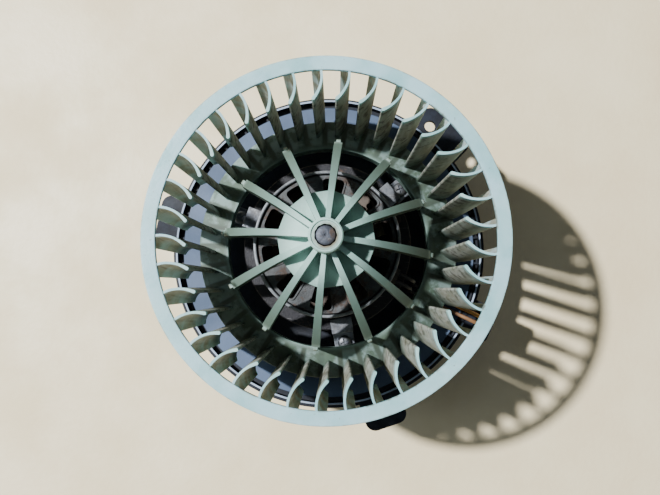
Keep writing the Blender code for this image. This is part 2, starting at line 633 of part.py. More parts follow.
def wheel_hub(mat):
    """Boss, twelve-sided disc, ribs and the collar that the ribs stand on."""
    profile = [(HUB_BORE_RADIUS, HUB_TOP_Z - HUB_STEP_DEPTH),
               (HUB_STEP_RADIUS, HUB_TOP_Z - HUB_STEP_DEPTH),
               (HUB_STEP_RADIUS, HUB_TOP_Z),
               (HUB_RADIUS - HUB_STEP_DEPTH, HUB_TOP_Z),
               (HUB_RADIUS, HUB_TOP_Z - HUB_STEP_DEPTH),
               (HUB_RADIUS, HUB_BOTTOM_Z),
               (HUB_BORE_RADIUS, HUB_BOTTOM_Z)]
    hub = turned("wheel_hub", profile, MEDIUM_STEPS, mat)
    boolean(hub, copies_round("ribs", rib, evenly(RIB_COUNT, RIB_FIRST_ANGLE)), "UNION")
    boolean(hub, disc("disc"), "UNION")
    collar = ring("collar", LIP_RADIUS, COLLAR_OUTER_RADIUS,
                  COLLAR_BOTTOM_Z, LIP_Z, LARGE_STEPS)
    boolean(hub, collar, "UNION")
    return hub


def disc(name):
    """Slightly coned disc with a straight edge between each pair of ribs, open at the boss."""
    corner_radius = DISC_RADIUS / cos(pi / RIB_COUNT)
    profile = [(HUB_MIDDLE_RADIUS, DISC_CENTRE_Z),
               (corner_radius, DISC_EDGE_Z),
               (corner_radius, DISC_EDGE_Z - DISC_THICKNESS),
               (HUB_MIDDLE_RADIUS, DISC_CENTRE_Z - DISC_THICKNESS)]
    plate = turned(name, profile, RIB_COUNT)
    plate.rotation_euler.z = RIB_FIRST_ANGLE
    return plate


# ================================================================ shaft and armature
def motor_shaft(mat):
    edge = SHAFT_RADIUS - SHAFT_DOME
    profile = [(0.0, SHAFT_TOP_Z),
               (edge, SHAFT_TOP_Z - SHAFT_DOME / 3),
               (SHAFT_RADIUS, SHAFT_TOP_Z - SHAFT_DOME),
               (SHAFT_RADIUS, SHAFT_BOTTOM_Z),
               (0.0, SHAFT_BOTTOM_Z)]
    return turned("motor_shaft", profile, MEDIUM_STEPS, mat, closed=False)


def armature_core(mat):
    """Laminated core with winding slots."""
    core = ring("armature_core", SHAFT_HOLE_RADIUS, CORE_RADIUS, CORE_BOTTOM_Z, CORE_TOP_Z,
                2 * CORE_SLOTS, mat)

    def slot(name):
        cutter = block(name, (CORE_SLOT_DEPTH + CUT_MARGIN, CORE_SLOT_WIDTH,
                              CORE_LENGTH + 2 * CUT_MARGIN))
        middle = CORE_RADIUS - CORE_SLOT_DEPTH + (CORE_SLOT_DEPTH + CUT_MARGIN) / 2
        cutter.data.transform(Matrix.Translation((middle, 0.0, CORE_BOTTOM_Z + CORE_LENGTH / 2)))
        return cutter

    boolean(core, copies_round("core_slots", slot, evenly(CORE_SLOTS, pi / (2 * CORE_SLOTS))),
            "DIFFERENCE")
    return core


def winding(name, bottom, length, mat):
    """End turns of the windings: a ring with a rounded outer shoulder."""
    top = bottom + length
    edge = WINDING_RADIUS - WINDING_SHOULDER
    profile = [(SHAFT_HOLE_RADIUS, top),
               (edge, top),
               (WINDING_RADIUS, top - WINDING_SHOULDER),
               (WINDING_RADIUS, bottom + WINDING_SHOULDER),
               (edge, bottom),
               (SHAFT_HOLE_RADIUS, bottom)]
    return turned(name, profile, 2 * CORE_SLOTS, mat)


def commutator(mat):
    """Copper bars on an insulating sleeve, parted by grooves, with a riser at the lower end."""
    riser = COMMUTATOR_RADIUS + RISER_REACH
    riser_top = COMMUTATOR_BOTTOM_Z + RISER_HEIGHT
    profile = [(SHAFT_HOLE_RADIUS, COMMUTATOR_TOP_Z),
               (COMMUTATOR_RADIUS, COMMUTATOR_TOP_Z),
               (COMMUTATOR_RADIUS, riser_top),
               (riser, riser_top),
               (riser, COMMUTATOR_BOTTOM_Z),
               (SHAFT_HOLE_RADIUS, COMMUTATOR_BOTTOM_Z)]
    bars = turned("commutator", profile, 2 * CORE_SLOTS, mat)

    def groove(name):
        reach = RISER_REACH + COMMUTATOR_GROOVE_DEPTH + CUT_MARGIN
        cutter = block(name, (reach, COMMUTATOR_GROOVE, COMMUTATOR_LENGTH + 2 * CUT_MARGIN))
        middle = COMMUTATOR_RADIUS - COMMUTATOR_GROOVE_DEPTH + reach / 2
        height = (COMMUTATOR_BOTTOM_Z + COMMUTATOR_TOP_Z) / 2
        cutter.data.transform(Matrix.Translation((middle, 0.0, height)))
        return cutter

    boolean(bars, copies_round("grooves", groove, evenly(CORE_SLOTS, pi / (2 * CORE_SLOTS))),
            "DIFFERENCE")
    return bars


def shaft_washers(fibre, spring_steel):
    front = SHIELD_BOTTOM_Z - TOUCH_GAP - WASHER_THICKNESS
    for name, bottom in (("thrust_washer_front", front), ("thrust_washer_rear", REAR_WASHER_Z)):
        ring(name, SHAFT_HOLE_RADIUS, WASHER_RADIUS, bottom, bottom + WASHER_THICKNESS,
             SMALL_STEPS, fibre)
    top = HUB_BOTTOM_Z - TOUCH_GAP
    ring("hub_spring_clip", SHAFT_HOLE_RADIUS, HUB_CLIP_RADIUS, top - HUB_CLIP_THICKNESS, top,
         SMALL_STEPS, spring_steel)


# ================================================================ motor can and ends
def radial_drum(name, radius, start, end, angle, z):
    """A cylinder lying along a radius, between two distances from the axis."""
    bm = bmesh.new()
    bmesh.ops.create_cone(bm, cap_ends=True, cap_tris=False, segments=SMALL_STEPS,
                          radius1=radius, radius2=radius, depth=end - start)
    bmesh.ops.rotate(bm, verts=bm.verts, cent=(0, 0, 0), matrix=Matrix.Rotation(pi / 2, 3, "Y"))
    obj = link(name, mesh_from(bm, name), PARTS)
    return place(obj, (start + end) / 2, angle, z)


def motor_can(mat):
    """Drawn steel can, open at the front, with a collar that sits on the cup's rim."""
    profile = [(0.0, CAN_FLOOR_Z),
               (CAN_INNER_RADIUS, CAN_FLOOR_Z),
               (CAN_INNER_RADIUS, CAN_TOP_Z),
               (CAN_RADIUS, CAN_TOP_Z),
               (CAN_RADIUS, CAN_COLLAR_TOP_Z),
               (CUP_RADIUS, CAN_COLLAR_TOP_Z),
               (CUP_RADIUS, CAN_COLLAR_Z),
               (CAN_RADIUS, CAN_COLLAR_Z),
               (CAN_RADIUS, CAN_BOTTOM_Z),
               (0.0, CAN_BOTTOM_Z)]
    can = turned("motor_can", profile, LARGE_STEPS, mat, closed=False)
    boolean(can, radial_drum("lead_hole", GROMMET_HOLE_RADIUS, CAN_INNER_RADIUS - CUT_MARGIN,
                             CAN_RADIUS + CUT_MARGIN, LEAD_ANGLE, LEAD_EXIT_Z), "DIFFERENCE")
    return can


def end_shield(mat):
    """Front end of the motor: windowed plate with a raised cup for the bearing."""
    profile = [(SHAFT_HOLE_RADIUS, BEARING_CUP_TOP_Z),
               (BEARING_CUP_OUTER, BEARING_CUP_TOP_Z),
               (BEARING_CUP_OUTER, SHIELD_TOP_Z),
               (SHIELD_RADIUS, SHIELD_TOP_Z),
               (SHIELD_RADIUS, SHIELD_BOTTOM_Z),
               (BEARING_CUP_INNER, SHIELD_BOTTOM_Z),
               (BEARING_CUP_INNER, BEARING_CUP_CEILING_Z),
               (SHAFT_HOLE_RADIUS, BEARING_CUP_CEILING_Z)]
    shield = turned("end_shield", profile, LARGE_STEPS, mat)

    def window(name):
        return arc_block(name, WINDOW_INNER_RADIUS, WINDOW_OUTER_RADIUS, 0.0, WINDOW_ARC,
                         SHIELD_BOTTOM_Z - CUT_MARGIN, SHIELD_TOP_Z + CUT_MARGIN, WINDOW_PIECES)

    boolean(shield, copies_round("windows", window, evenly(SHIELD_WINDOWS, WINDOW_FIRST_ANGLE)),
            "DIFFERENCE")
    return shield


def bearings(bronze, spring_steel):
    for name, bottom in (("bearing_front", FRONT_BEARING_Z), ("bearing_rear", REAR_BEARING_Z)):
        edge = BEARING_RADIUS - BEARING_CHAMFER
        top = bottom + BEARING_LENGTH
        profile = [(SHAFT_HOLE_RADIUS, top),
                   (edge, top),
                   (BEARING_RADIUS, top - BEARING_CHAMFER),
                   (BEARING_RADIUS, bottom + BEARING_CHAMFER),
                   (edge, bottom),
                   (SHAFT_HOLE_RADIUS, bottom)]
        turned(name, profile, MEDIUM_STEPS, bronze)
    ring("bearing_retainer_front", SHAFT_HOLE_RADIUS, BEARING_RADIUS, SHIELD_BOTTOM_Z,
         SHIELD_BOTTOM_Z + RETAINER_THICKNESS, SMALL_STEPS, spring_steel)
    ring("bearing_retainer_rear", BEARING_CUP_INNER, BEARING_CUP_OUTER, REAR_BEARING_Z,
         REAR_BEARING_Z + BEARING_LENGTH / 2, MEDIUM_STEPS, spring_steel)


def magnets(ferrite, spring_steel):
    for index, suffix in enumerate(("a", "b")):
        centre = POLE_ANGLE + index * pi
        arc_block("magnet_" + suffix, MAGNET_INNER_RADIUS, MAGNET_OUTER_RADIUS, centre, MAGNET_ARC,
                  MAGNET_BOTTOM_Z, MAGNET_TOP_Z, MAGNET_PIECES, ferrite)
        arc_block("magnet_clip_" + suffix, MAGNET_OUTER_RADIUS - MAGNET_CLIP_THICKNESS,
                  MAGNET_OUTER_RADIUS, centre + pi / 2, MAGNET_CLIP_ARC, MAGNET_BOTTOM_Z,
                  MAGNET_TOP_Z, CLIP_PIECES, spring_steel)


# ================================================================ brush gear
def brush_plate(mat):
    return ring("brush_plate", PLATE_HOLE_RADIUS, SHIELD_RADIUS, PLATE_Z, PLATE_TOP_Z,
                LARGE_STEPS, mat)


def brush_set(suffix, angle, brass, carbon, spring_steel):
    """Holder, brush and spring on one radius; the brush slides outwards against the spring."""
    length = HOLDER_OUTER_RADIUS - HOLDER_INNER_RADIUS
    holder = block("brush_holder_" + suffix, (length, HOLDER_WIDTH, HOLDER_HEIGHT), brass)
    place(holder, HOLDER_INNER_RADIUS + length / 2, angle, BRUSH_Z)
    channel_length = length - HOLDER_WALL + CUT_MARGIN
    channel = block("channel_" + suffix,
                    (channel_length, HOLDER_CHANNEL_WIDTH, HOLDER_CHANNEL_HEIGHT))
    place(channel, HOLDER_OUTER_RADIUS - HOLDER_WALL - channel_length / 2, angle, BRUSH_Z)
    boolean(holder, channel, "DIFFERENCE")

    brush = block("brush_" + suffix, (BRUSH_LENGTH, BRUSH_WIDTH, BRUSH_HEIGHT), carbon)
    place(brush, BRUSH_INNER_RADIUS + BRUSH_LENGTH / 2, angle, BRUSH_Z)

    curve = bpy.data.curves.new("brush_spring_" + suffix, "CURVE")
    curve.dimensions = "3D"
    curve.bevel_depth = SPRING_WIRE / 2
    curve.bevel_resolution = 0
    curve.use_fill_caps = True
    count = SPRING_TURNS * SPRING_POINTS_PER_TURN
    spline = curve.splines.new("POLY")
    spline.points.add(count)
    for index, point in enumerate(spline.points):
        turn = 2 * pi * index / SPRING_POINTS_PER_TURN
        along = SPRING_START + SPRING_LENGTH * index / count
        point.co = (along, SPRING_RADIUS * cos(turn), SPRING_RADIUS * sin(turn), 1.0)
    spring = curve_to_mesh("brush_spring_" + suffix, curve, spring_steel)
    place(spring, 0.0, angle, BRUSH_Z)


def choke(suffix, angle, copper, ferrite):
    """Suppression choke lying across a radius: wire turns round a ferrite rod."""
    pitch = CHOKE_LENGTH / CHOKE_TURNS
    root = CHOKE_RADIUS - CHOKE_WIRE_DEPTH
    profile = [(CHOKE_CORE_RADIUS + TOUCH_GAP, CHOKE_LENGTH / 2)]
    for turn in range(CHOKE_TURNS):
        top = CHOKE_LENGTH / 2 - turn * pitch
        profile += [(root, top), (CHOKE_RADIUS, top - pitch / 2)]
    profile += [(root, -CHOKE_LENGTH / 2), (CHOKE_CORE_RADIUS + TOUCH_GAP, -CHOKE_LENGTH / 2)]
    height = PLATE_TOP_Z + TOUCH_GAP + CHOKE_RADIUS
    coil = turned("choke_coil_" + suffix, profile, SMALL_STEPS, copper)
    core_half = CHOKE_LENGTH / 2 + CHOKE_CORE_RADIUS
    core = drum("choke_core_" + suffix, CHOKE_CORE_RADIUS, -core_half, core_half, SMALL_STEPS,
                ferrite)
    for piece in (coil, core):
        place(piece, SUPPRESSOR_RADIUS, angle, height)
        piece.rotation_euler = (pi / 2, 0.0, angle)


def capacitor(mat):
    obj = block("suppression_capacitor", CAPACITOR_SIZE, mat)
    height = PLATE_TOP_Z + TOUCH_GAP + CAPACITOR_SIZE[2] / 2
    return place(obj, SUPPRESSOR_RADIUS, CAPACITOR_ANGLE, height)


# ================================================================ mounting flange
def rounded_end(length, half_width, corner):
    """Outline of a strip from X = 0 to X = length, its far corners rounded."""
    outline = [(0.0, -half_width)]
    for centre_y, start in ((-half_width + corner, -pi / 2), (half_width - corner, 0.0)):
        for index in range(CORNER_PIECES + 1):
            turn = start + pi / 2 * index / CORNER_PIECES
            outline.append((length - corner + corner * cos(turn), centre_y + corner * sin(turn)))
    outline.append((0.0, half_width))
    return outline


def flange_plate(name, reach, half_width, corner, angle):
    """A plate at the flange's level, from under its step out to a reach beyond its edge."""
    start = STEP_OUTER_RADIUS + FLANGE_THICKNESS / 2
    outline = rounded_end(FLANGE_RADIUS + reach - start, half_width, corner)
    plate = flat_outline(name, outline, FLANGE_THICKNESS - EAR_TUCK)
    return place(plate, start, angle, FLANGE_BOTTOM_Z + FLANGE_THICKNESS / 2)


def ear_hole(index, angle, reach, shift):
    hole = drum("ear_hole_" + str(index), EAR_HOLE_RADIUS, -FLANGE_THICKNESS, FLANGE_THICKNESS,
                SMALL_STEPS)
    return place(hole, FLANGE_RADIUS + reach - EAR_HOLE_INSET, angle,
                 FLANGE_BOTTOM_Z + FLANGE_THICKNESS / 2, shift)


def motor_cup(mat):
    """Cup that holds the motor and stands on its flat floor; the flange sits on its shoulder."""
    shoulder_top = FLANGE_BOTTOM_Z - TOUCH_GAP
    profile = [(0.0, CUP_FLOOR),
               (CUP_INNER_RADIUS, CUP_FLOOR),
               (CUP_INNER_RADIUS, CUP_TOP_Z),
               (CUP_RADIUS, CUP_TOP_Z),
               (CUP_RADIUS, shoulder_top),
               (CUP_RADIUS + SHOULDER_REACH, shoulder_top),
               (CUP_RADIUS + SHOULDER_REACH, shoulder_top - SHOULDER_HEIGHT),
               (CUP_RADIUS, shoulder_top - SHOULDER_HEIGHT - SHOULDER_REACH),
               (CUP_RADIUS, 0.0),
               (0.0, 0.0)]
    return turned("motor_cup", profile, LARGE_STEPS, mat, closed=False)


def mounting_flange(mat):
    """Wide flange round the cup, with a raised step, a thin upright wall and three ears."""
    bore = CUP_RADIUS + TOUCH_GAP
    wall_z = FLANGE_TOP_Z + WALL_HEIGHT
    recess_outer = STEP_OUTER_RADIUS - FLANGE_THICKNESS
    recess_inner = STEP_INNER_RADIUS + FLANGE_THICKNESS
    recess_z = STEP_TOP_Z - FLANGE_THICKNESS
    profile = [(bore, FLANGE_TOP_Z),
               (STEP_INNER_RADIUS, FLANGE_TOP_Z),
               (STEP_INNER_RADIUS, STEP_TOP_Z),
               (STEP_OUTER_RADIUS, STEP_TOP_Z),
               (STEP_OUTER_RADIUS, FLANGE_TOP_Z),
               (WALL_INNER_RADIUS, FLANGE_TOP_Z),
               (WALL_INNER_RADIUS, wall_z),
               (WALL_OUTER_RADIUS, wall_z),
               (WALL_OUTER_RADIUS, FLANGE_TOP_Z),
               (FLANGE_RADIUS, FLANGE_TOP_Z),
               (FLANGE_RADIUS, FLANGE_BOTTOM_Z),
               (recess_outer, FLANGE_BOTTOM_Z),
               (recess_outer, recess_z),
               (recess_inner, recess_z),
               (recess_inner, FLANGE_BOTTOM_Z),
               (bore, FLANGE_BOTTOM_Z)]
    flange = turned("mounting_flange", profile, LARGE_STEPS, mat)
    additions = [flange_plate("ear_" + str(index), reach, half, EAR_CORNER, angle)
                 for index, (angle, reach, half, _) in enumerate(EARS)]
    additions.append(flange_plate("connector_tab", TAB_REACH - FLANGE_RADIUS,
                                  CONNECTOR_WIDTH / 2 + TAB_MARGIN, EAR_CORNER / 2, LEAD_ANGLE))
    for index, angle in enumerate(CLIP_ANGLES):
        post = drum("post_" + str(index), POST_RADIUS, FLANGE_TOP_Z - OVERLAP, POST_TOP_Z,
                    SMALL_STEPS)
        place(post, POST_CIRCLE_RADIUS, angle, (FLANGE_TOP_Z - OVERLAP + POST_TOP_Z) / 2)
        additions.append(post)
    bpy.context.view_layer.update()
    boolean(flange, joined("flange_additions", additions), "UNION")

    cuts = [ear_hole(index, angle, reach, shift) for index, (angle, reach, _, shift) in
            enumerate(EARS)]
    hole_bottom = SCREW_TIP_Z - TOUCH_GAP
    for index, angle in enumerate(CLIP_ANGLES):
        hole = drum("post_hole_" + str(index), SCREW_HOLE_RADIUS, hole_bottom,
                    POST_TOP_Z + CUT_MARGIN, SMALL_STEPS)
        cuts.append(place(hole, POST_CIRCLE_RADIUS, angle,
                          (hole_bottom + POST_TOP_Z + CUT_MARGIN) / 2))
    leads_width = LEAD_SPACING + LEAD_DIAMETER + 2 * LEAD_SLOT_MARGIN
    lead_slot = block("lead_slot", (LEAD_DIAMETER + 2 * LEAD_SLOT_MARGIN, leads_width,
                                    FLANGE_THICKNESS + 2 * CUT_MARGIN))
    cuts.append(place(lead_slot, CONNECTOR_RADIUS, LEAD_ANGLE,
                      FLANGE_BOTTOM_Z + FLANGE_THICKNESS / 2))
    gap_height = WALL_HEIGHT - WALL_SILL + CUT_MARGIN
    wall_gap = block("wall_gap", (WALL_THICKNESS + 2 * CUT_MARGIN, leads_width, gap_height))
    cuts.append(place(wall_gap, (WALL_INNER_RADIUS + WALL_OUTER_RADIUS) / 2, LEAD_ANGLE,
                      FLANGE_TOP_Z + WALL_SILL + gap_height / 2))
    bpy.context.view_layer.update()
    boolean(flange, joined("flange_cuts", cuts), "DIFFERENCE")
    return flange


# ================================================================ motor suspension
def suspension(rubber, zinc):
    for index, angle in enumerate(ISOLATOR_ANGLES):
        arc_block("isolator_" + str(index + 1), CAN_RADIUS + TOUCH_GAP,
                  CUP_INNER_RADIUS - TOUCH_GAP, angle, ISOLATOR_ARC, CORE_BOTTOM_Z,
                  CORE_TOP_Z + ISOLATOR_OVERRUN, ISOLATOR_PIECES, rubber)
    ring("rear_damper", DAMPER_INNER_RADIUS, DAMPER_OUTER_RADIUS, CUP_FLOOR + TOUCH_GAP,
         CAN_BOTTOM_Z - TOUCH_GAP, MEDIUM_STEPS, rubber)
    for index, angle in enumerate(CLIP_ANGLES):
        motor_clip(index + 1, angle, zinc)
        clip_screw(index + 1, angle, zinc)


def motor_clip(number, angle, mat):
    """Bent strip: a foot on the flange's post, a riser and a hook over the can's collar."""
    riser_out = CLIP_RISER_INNER + CLIP_THICKNESS
    hook_in = CAN_RADIUS + 2 * TOUCH_GAP
    hook_top = CLIP_HOOK_Z + CLIP_THICKNESS
    outline = [(hook_in, CLIP_HOOK_Z), (CLIP_RISER_INNER, CLIP_HOOK_Z),
               (CLIP_RISER_INNER, CLIP_FOOT_Z),
               (CLIP_FOOT_END, CLIP_FOOT_Z), (CLIP_FOOT_END, CLIP_FOOT_Z + CLIP_THICKNESS),
               (riser_out, CLIP_FOOT_Z + CLIP_THICKNESS), (riser_out, hook_top),
               (hook_in, hook_top)]
    clip = flat_outline("motor_clip_" + str(number), outline, CLIP_WIDTH, mat)
    clip.data.transform(Matrix.Rotation(pi / 2, 4, "X"))
    place(clip, 0.0, angle, 0.0)
    hole = drum("clip_hole_" + str(number), SCREW_HOLE_RADIUS, -CLIP_THICKNESS,
                2 * CLIP_THICKNESS, SMALL_STEPS)
    place(hole, POST_CIRCLE_RADIUS, angle, CLIP_FOOT_Z + CLIP_THICKNESS / 2)
    return boolean(clip, hole, "DIFFERENCE")


def clip_screw(number, angle, mat):
    """Pan-head screw, modelled without its thread."""
    profile = [(0.0, SCREW_HEAD_TOP_Z),
               (SCREW_HEAD_RADIUS - SCREW_HEAD_EDGE, SCREW_HEAD_TOP_Z),
               (SCREW_HEAD_RADIUS, SCREW_HEAD_TOP_Z - SCREW_HEAD_EDGE),
               (SCREW_HEAD_RADIUS, SCREW_HEAD_Z),
               (SCREW_SHANK_RADIUS, SCREW_HEAD_Z),
               (SCREW_SHANK_RADIUS, SCREW_TIP_Z),
               (0.0, SCREW_TIP_Z)]
    screw = turned("clip_screw_" + str(number), profile, SMALL_STEPS, mat, closed=False)
    return place(screw, POST_CIRCLE_RADIUS, angle, 0.0)


# ================================================================ leads and connector
def lead_route(side):
    """Points of a lead as (radius, sideways shift, height), from the brush gear to the plug."""
    shift = side * LEAD_SPACING / 2
    over_step = STEP_TOP_Z + LEAD_DIAMETER / 2 + TOUCH_GAP
    return [(CAN_INNER_RADIUS - LEAD_ENTRY, shift, LEAD_EXIT_Z),
            (CAN_RADIUS + LEAD_ENTRY, shift, LEAD_EXIT_Z),
            (LEAD_DOWN_RADIUS - LEAD_DIAMETER / 2, shift, LEAD_EXIT_Z - LEAD_ENTRY),
            (LEAD_DOWN_RADIUS, shift, LEAD_EXIT_Z - LEAD_BEND),
            (LEAD_DOWN_RADIUS, shift, over_step + LEAD_BEND),
            (LEAD_DOWN_RADIUS + LEAD_SWEEP / 4, shift, over_step + LEAD_BEND / 3),
            (LEAD_DOWN_RADIUS + LEAD_SWEEP, shift, over_step + TOUCH_GAP),
            (STEP_INNER_RADIUS + LEAD_DIAMETER, shift, over_step),
            (STEP_OUTER_RADIUS - LEAD_ENTRY, shift, over_step),
            (WALL_OUTER_RADIUS, shift, over_step + LEAD_DIAMETER / 2),
            (CONNECTOR_RADIUS - LEAD_DIAMETER, shift, over_step + TOUCH_GAP),
            (CONNECTOR_RADIUS, shift, FLANGE_TOP_Z - TOUCH_GAP),
            (CONNECTOR_RADIUS, shift, CONNECTOR_TOP_Z + TOUCH_GAP)]


def smooth_route(points, pieces):
    """Catmull-Rom curve through the points, each span in the given number of pieces."""
    vectors = [Vector(point) for point in points]
    padded = [2 * vectors[0] - vectors[1], *vectors, 2 * vectors[-1] - vectors[-2]]
    route = []
    for index in range(len(vectors) - 1):
        before, start, end, after = padded[index:index + 4]
        for piece in range(pieces):
            t = piece / pieces
            route.append(0.5 * (2 * start + (end - before) * t
                                + (2 * before - 5 * start + 4 * end - after) * t ** 2
                                + (3 * start - before - 3 * end + after) * t ** 3))
    route.append(vectors[-1])
    return route


def lead(name, side, mat):
    curve = bpy.data.curves.new(name, "CURVE")
    curve.dimensions = "3D"
    curve.bevel_depth = LEAD_DIAMETER / 2
    curve.bevel_resolution = 1
    curve.use_fill_caps = True
    route = smooth_route(lead_route(side), LEAD_PIECES)
    spline = curve.splines.new("POLY")
    spline.points.add(len(route) - 1)
    for point, position in zip(spline.points, route):
        point.co = (*position, 1.0)
    obj = curve_to_mesh(name, curve, mat)
    return smooth(place(obj, 0.0, LEAD_ANGLE, 0.0), radians(60))


def lead_grommet(mat):
    """Rubber grommet in the can's wall, with a hole for each lead."""
    inner = CAN_INNER_RADIUS - GROMMET_REACH
    outer = CAN_RADIUS + GROMMET_REACH
    grommet = radial_drum("lead_grommet", GROMMET_HOLE_RADIUS - TOUCH_GAP, inner, outer,
                          LEAD_ANGLE, LEAD_EXIT_Z)
    grommet.data.materials.append(mat)
    holes = []
    for side in (-1, 1):
        hole = radial_drum("lead_bore_" + str(side), LEAD_DIAMETER / 2 + TOUCH_GAP,
                           inner - CUT_MARGIN, outer + CUT_MARGIN, LEAD_ANGLE, LEAD_EXIT_Z)
        place(hole, (inner + outer) / 2, LEAD_ANGLE, LEAD_EXIT_Z, side * LEAD_SPACING / 2)
        holes.append(hole)
    bpy.context.view_layer.update()
    return boolean(grommet, joined("lead_bores", holes), "DIFFERENCE")


def connector(plastic, tin):
    """Two-way connector hung under the flange's tab, its mouth open downwards."""
    housing = block("connector_housing", (CONNECTOR_DEPTH, CONNECTOR_WIDTH, CONNECTOR_HEIGHT),
                    plastic)
    middle = CONNECTOR_TOP_Z - CONNECTOR_HEIGHT / 2
    place(housing, CONNECTOR_RADIUS, LEAD_ANGLE, middle)
    mouth_height = CONNECTOR_HEIGHT - CONNECTOR_ROOF + CUT_MARGIN
    mouth = block("connector_mouth", (CONNECTOR_DEPTH - 2 * CONNECTOR_WALL,
                                      CONNECTOR_WIDTH - 2 * CONNECTOR_WALL, mouth_height))
    place(mouth, CONNECTOR_RADIUS, LEAD_ANGLE,
          CONNECTOR_TOP_Z - CONNECTOR_ROOF - mouth_height / 2)
    boolean(housing, mouth, "DIFFERENCE")
    slots = []
    for side in (-1, 1):
        slot = block("terminal_slot_" + str(side),
                     (TERMINAL_THICKNESS + 2 * TOUCH_GAP, TERMINAL_WIDTH + 2 * TOUCH_GAP,
                      CONNECTOR_HEIGHT))
        slots.append(place(slot, CONNECTOR_RADIUS, LEAD_ANGLE,
                           CONNECTOR_TOP_Z - TERMINAL_COVER - CONNECTOR_HEIGHT / 2,
                           side * TERMINAL_OFFSET))
    bpy.context.view_layer.update()
    boolean(housing, joined("terminal_slots", slots), "DIFFERENCE")
    terminal_z = CONNECTOR_TOP_Z - TERMINAL_COVER - TOUCH_GAP - TERMINAL_LENGTH / 2
    for suffix, side in (("a", -1), ("b", 1)):
        terminal = block("terminal_" + suffix,
                         (TERMINAL_THICKNESS, TERMINAL_WIDTH, TERMINAL_LENGTH), tin)
        place(terminal, CONNECTOR_RADIUS, LEAD_ANGLE, terminal_z, side * TERMINAL_OFFSET)
    return housing


# ================================================================ assembly
clear_scene()
PARTS = new_collection("cabin_blower")
CUTTERS = new_collection("cutters")

NYLON = material("natural_nylon", (0.56, 0.66, 0.55), 0.45)
BLACK = material("black_plastic", (0.025, 0.027, 0.035), 0.40)
STEEL = material("drawn_steel", (0.30, 0.29, 0.27), 0.45, 1.0)
SHAFT_STEEL = material("shaft_steel", (0.16, 0.15, 0.15), 0.40, 1.0)
ZINC = material("zinc_plate", (0.60, 0.61, 0.60), 0.35, 1.0)
SPRING = material("spring_steel", (0.45, 0.45, 0.45), 0.35, 1.0)
FERRITE = material("ferrite", (0.06, 0.06, 0.065), 0.60)
LAMINATION = material("lamination_steel", (0.22, 0.20, 0.19), 0.50, 1.0)
COPPER = material("copper", (0.72, 0.33, 0.16), 0.35, 1.0)
BRASS = material("brass", (0.70, 0.55, 0.25), 0.35, 1.0)
BRONZE = material("sintered_bronze", (0.48, 0.36, 0.22), 0.55, 1.0)
CARBON = material("carbon", (0.04, 0.04, 0.04), 0.55)
PHENOLIC = material("brown_phenolic", (0.20, 0.11, 0.07), 0.55)
RUBBER = material("black_rubber", (0.02, 0.02, 0.02), 0.75)
FIBRE = material("fibre_washer", (0.35, 0.28, 0.18), 0.70)
ORANGE = material("orange_insulation", (0.80, 0.38, 0.05), 0.45)
BROWN = material("brown_insulation", (0.30, 0.14, 0.05), 0.45)

wheel_cage(NYLON)
wheel_hub(NYLON)
motor_shaft(SHAFT_STEEL)
armature_core(LAMINATION)
winding("winding_front", CORE_TOP_Z + TOUCH_GAP, WINDING_FRONT_LENGTH, COPPER)
winding("winding_rear", REAR_WINDING_Z, WINDING_REAR_LENGTH, COPPER)
commutator(COPPER)
shaft_washers(FIBRE, SPRING)
motor_can(STEEL)
end_shield(STEEL)
bearings(BRONZE, SPRING)
magnets(FERRITE, SPRING)
brush_plate(PHENOLIC)
brush_set("a", BRUSH_ANGLE, BRASS, CARBON, SPRING)
brush_set("b", BRUSH_ANGLE + pi, BRASS, CARBON, SPRING)
choke("a", CHOKE_ANGLES[0], COPPER, FERRITE)
choke("b", CHOKE_ANGLES[1], COPPER, FERRITE)
capacitor(BLACK)
motor_cup(BLACK)
mounting_flange(BLACK)
suspension(RUBBER, ZINC)
lead("lead_positive", 1, ORANGE)
lead("lead_negative", -1, BROWN)
lead_grommet(RUBBER)
connector(BLACK, ZINC)
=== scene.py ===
# %% [markdown]
# # A cabin blower, from its wheel down to its motor
#
# The frame that is loaded here holds every piece as a plain solid, in metres, with +Z up along
# the rotor's axis and the motor cup's flat base at Z = 0. It fixes all places and sizes. What
# follows gives each piece its finished surface: a finer mesh where the plain one would look
# faceted, and a procedural material everywhere.

import bmesh
import bpy
import json
from math import cos, hypot, pi, radians, sin, sqrt
from mathutils import Matrix, Vector


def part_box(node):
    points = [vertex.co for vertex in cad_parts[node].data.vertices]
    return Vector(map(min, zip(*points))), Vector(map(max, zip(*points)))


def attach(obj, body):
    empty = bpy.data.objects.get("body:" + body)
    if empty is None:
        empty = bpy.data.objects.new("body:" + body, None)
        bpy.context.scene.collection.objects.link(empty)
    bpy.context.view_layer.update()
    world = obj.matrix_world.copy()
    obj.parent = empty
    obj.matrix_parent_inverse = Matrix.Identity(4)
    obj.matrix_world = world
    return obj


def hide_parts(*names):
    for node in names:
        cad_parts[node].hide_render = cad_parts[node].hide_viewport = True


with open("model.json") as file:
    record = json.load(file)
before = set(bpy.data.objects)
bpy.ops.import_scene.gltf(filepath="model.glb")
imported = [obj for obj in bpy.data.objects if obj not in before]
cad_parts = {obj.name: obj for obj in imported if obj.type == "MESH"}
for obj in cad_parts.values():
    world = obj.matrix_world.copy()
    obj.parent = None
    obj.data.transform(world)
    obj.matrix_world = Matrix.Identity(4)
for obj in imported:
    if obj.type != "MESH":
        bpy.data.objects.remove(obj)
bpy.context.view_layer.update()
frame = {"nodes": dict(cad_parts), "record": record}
ROTOR = "rotor"
MM = 0.001

# %% [markdown]
# ## Sizes
#
# Heights and outer radii are read from the frame's boxes, so that a finished piece always lies
# where its solid lies. Only sizes that a box can't tell, such as a wall or a blade's curve, are
# named here.

# %% Read places from the frame's boxes
def top_of(node):
    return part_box(node)[1][2]


def bottom_of(node):
    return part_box(node)[0][2]


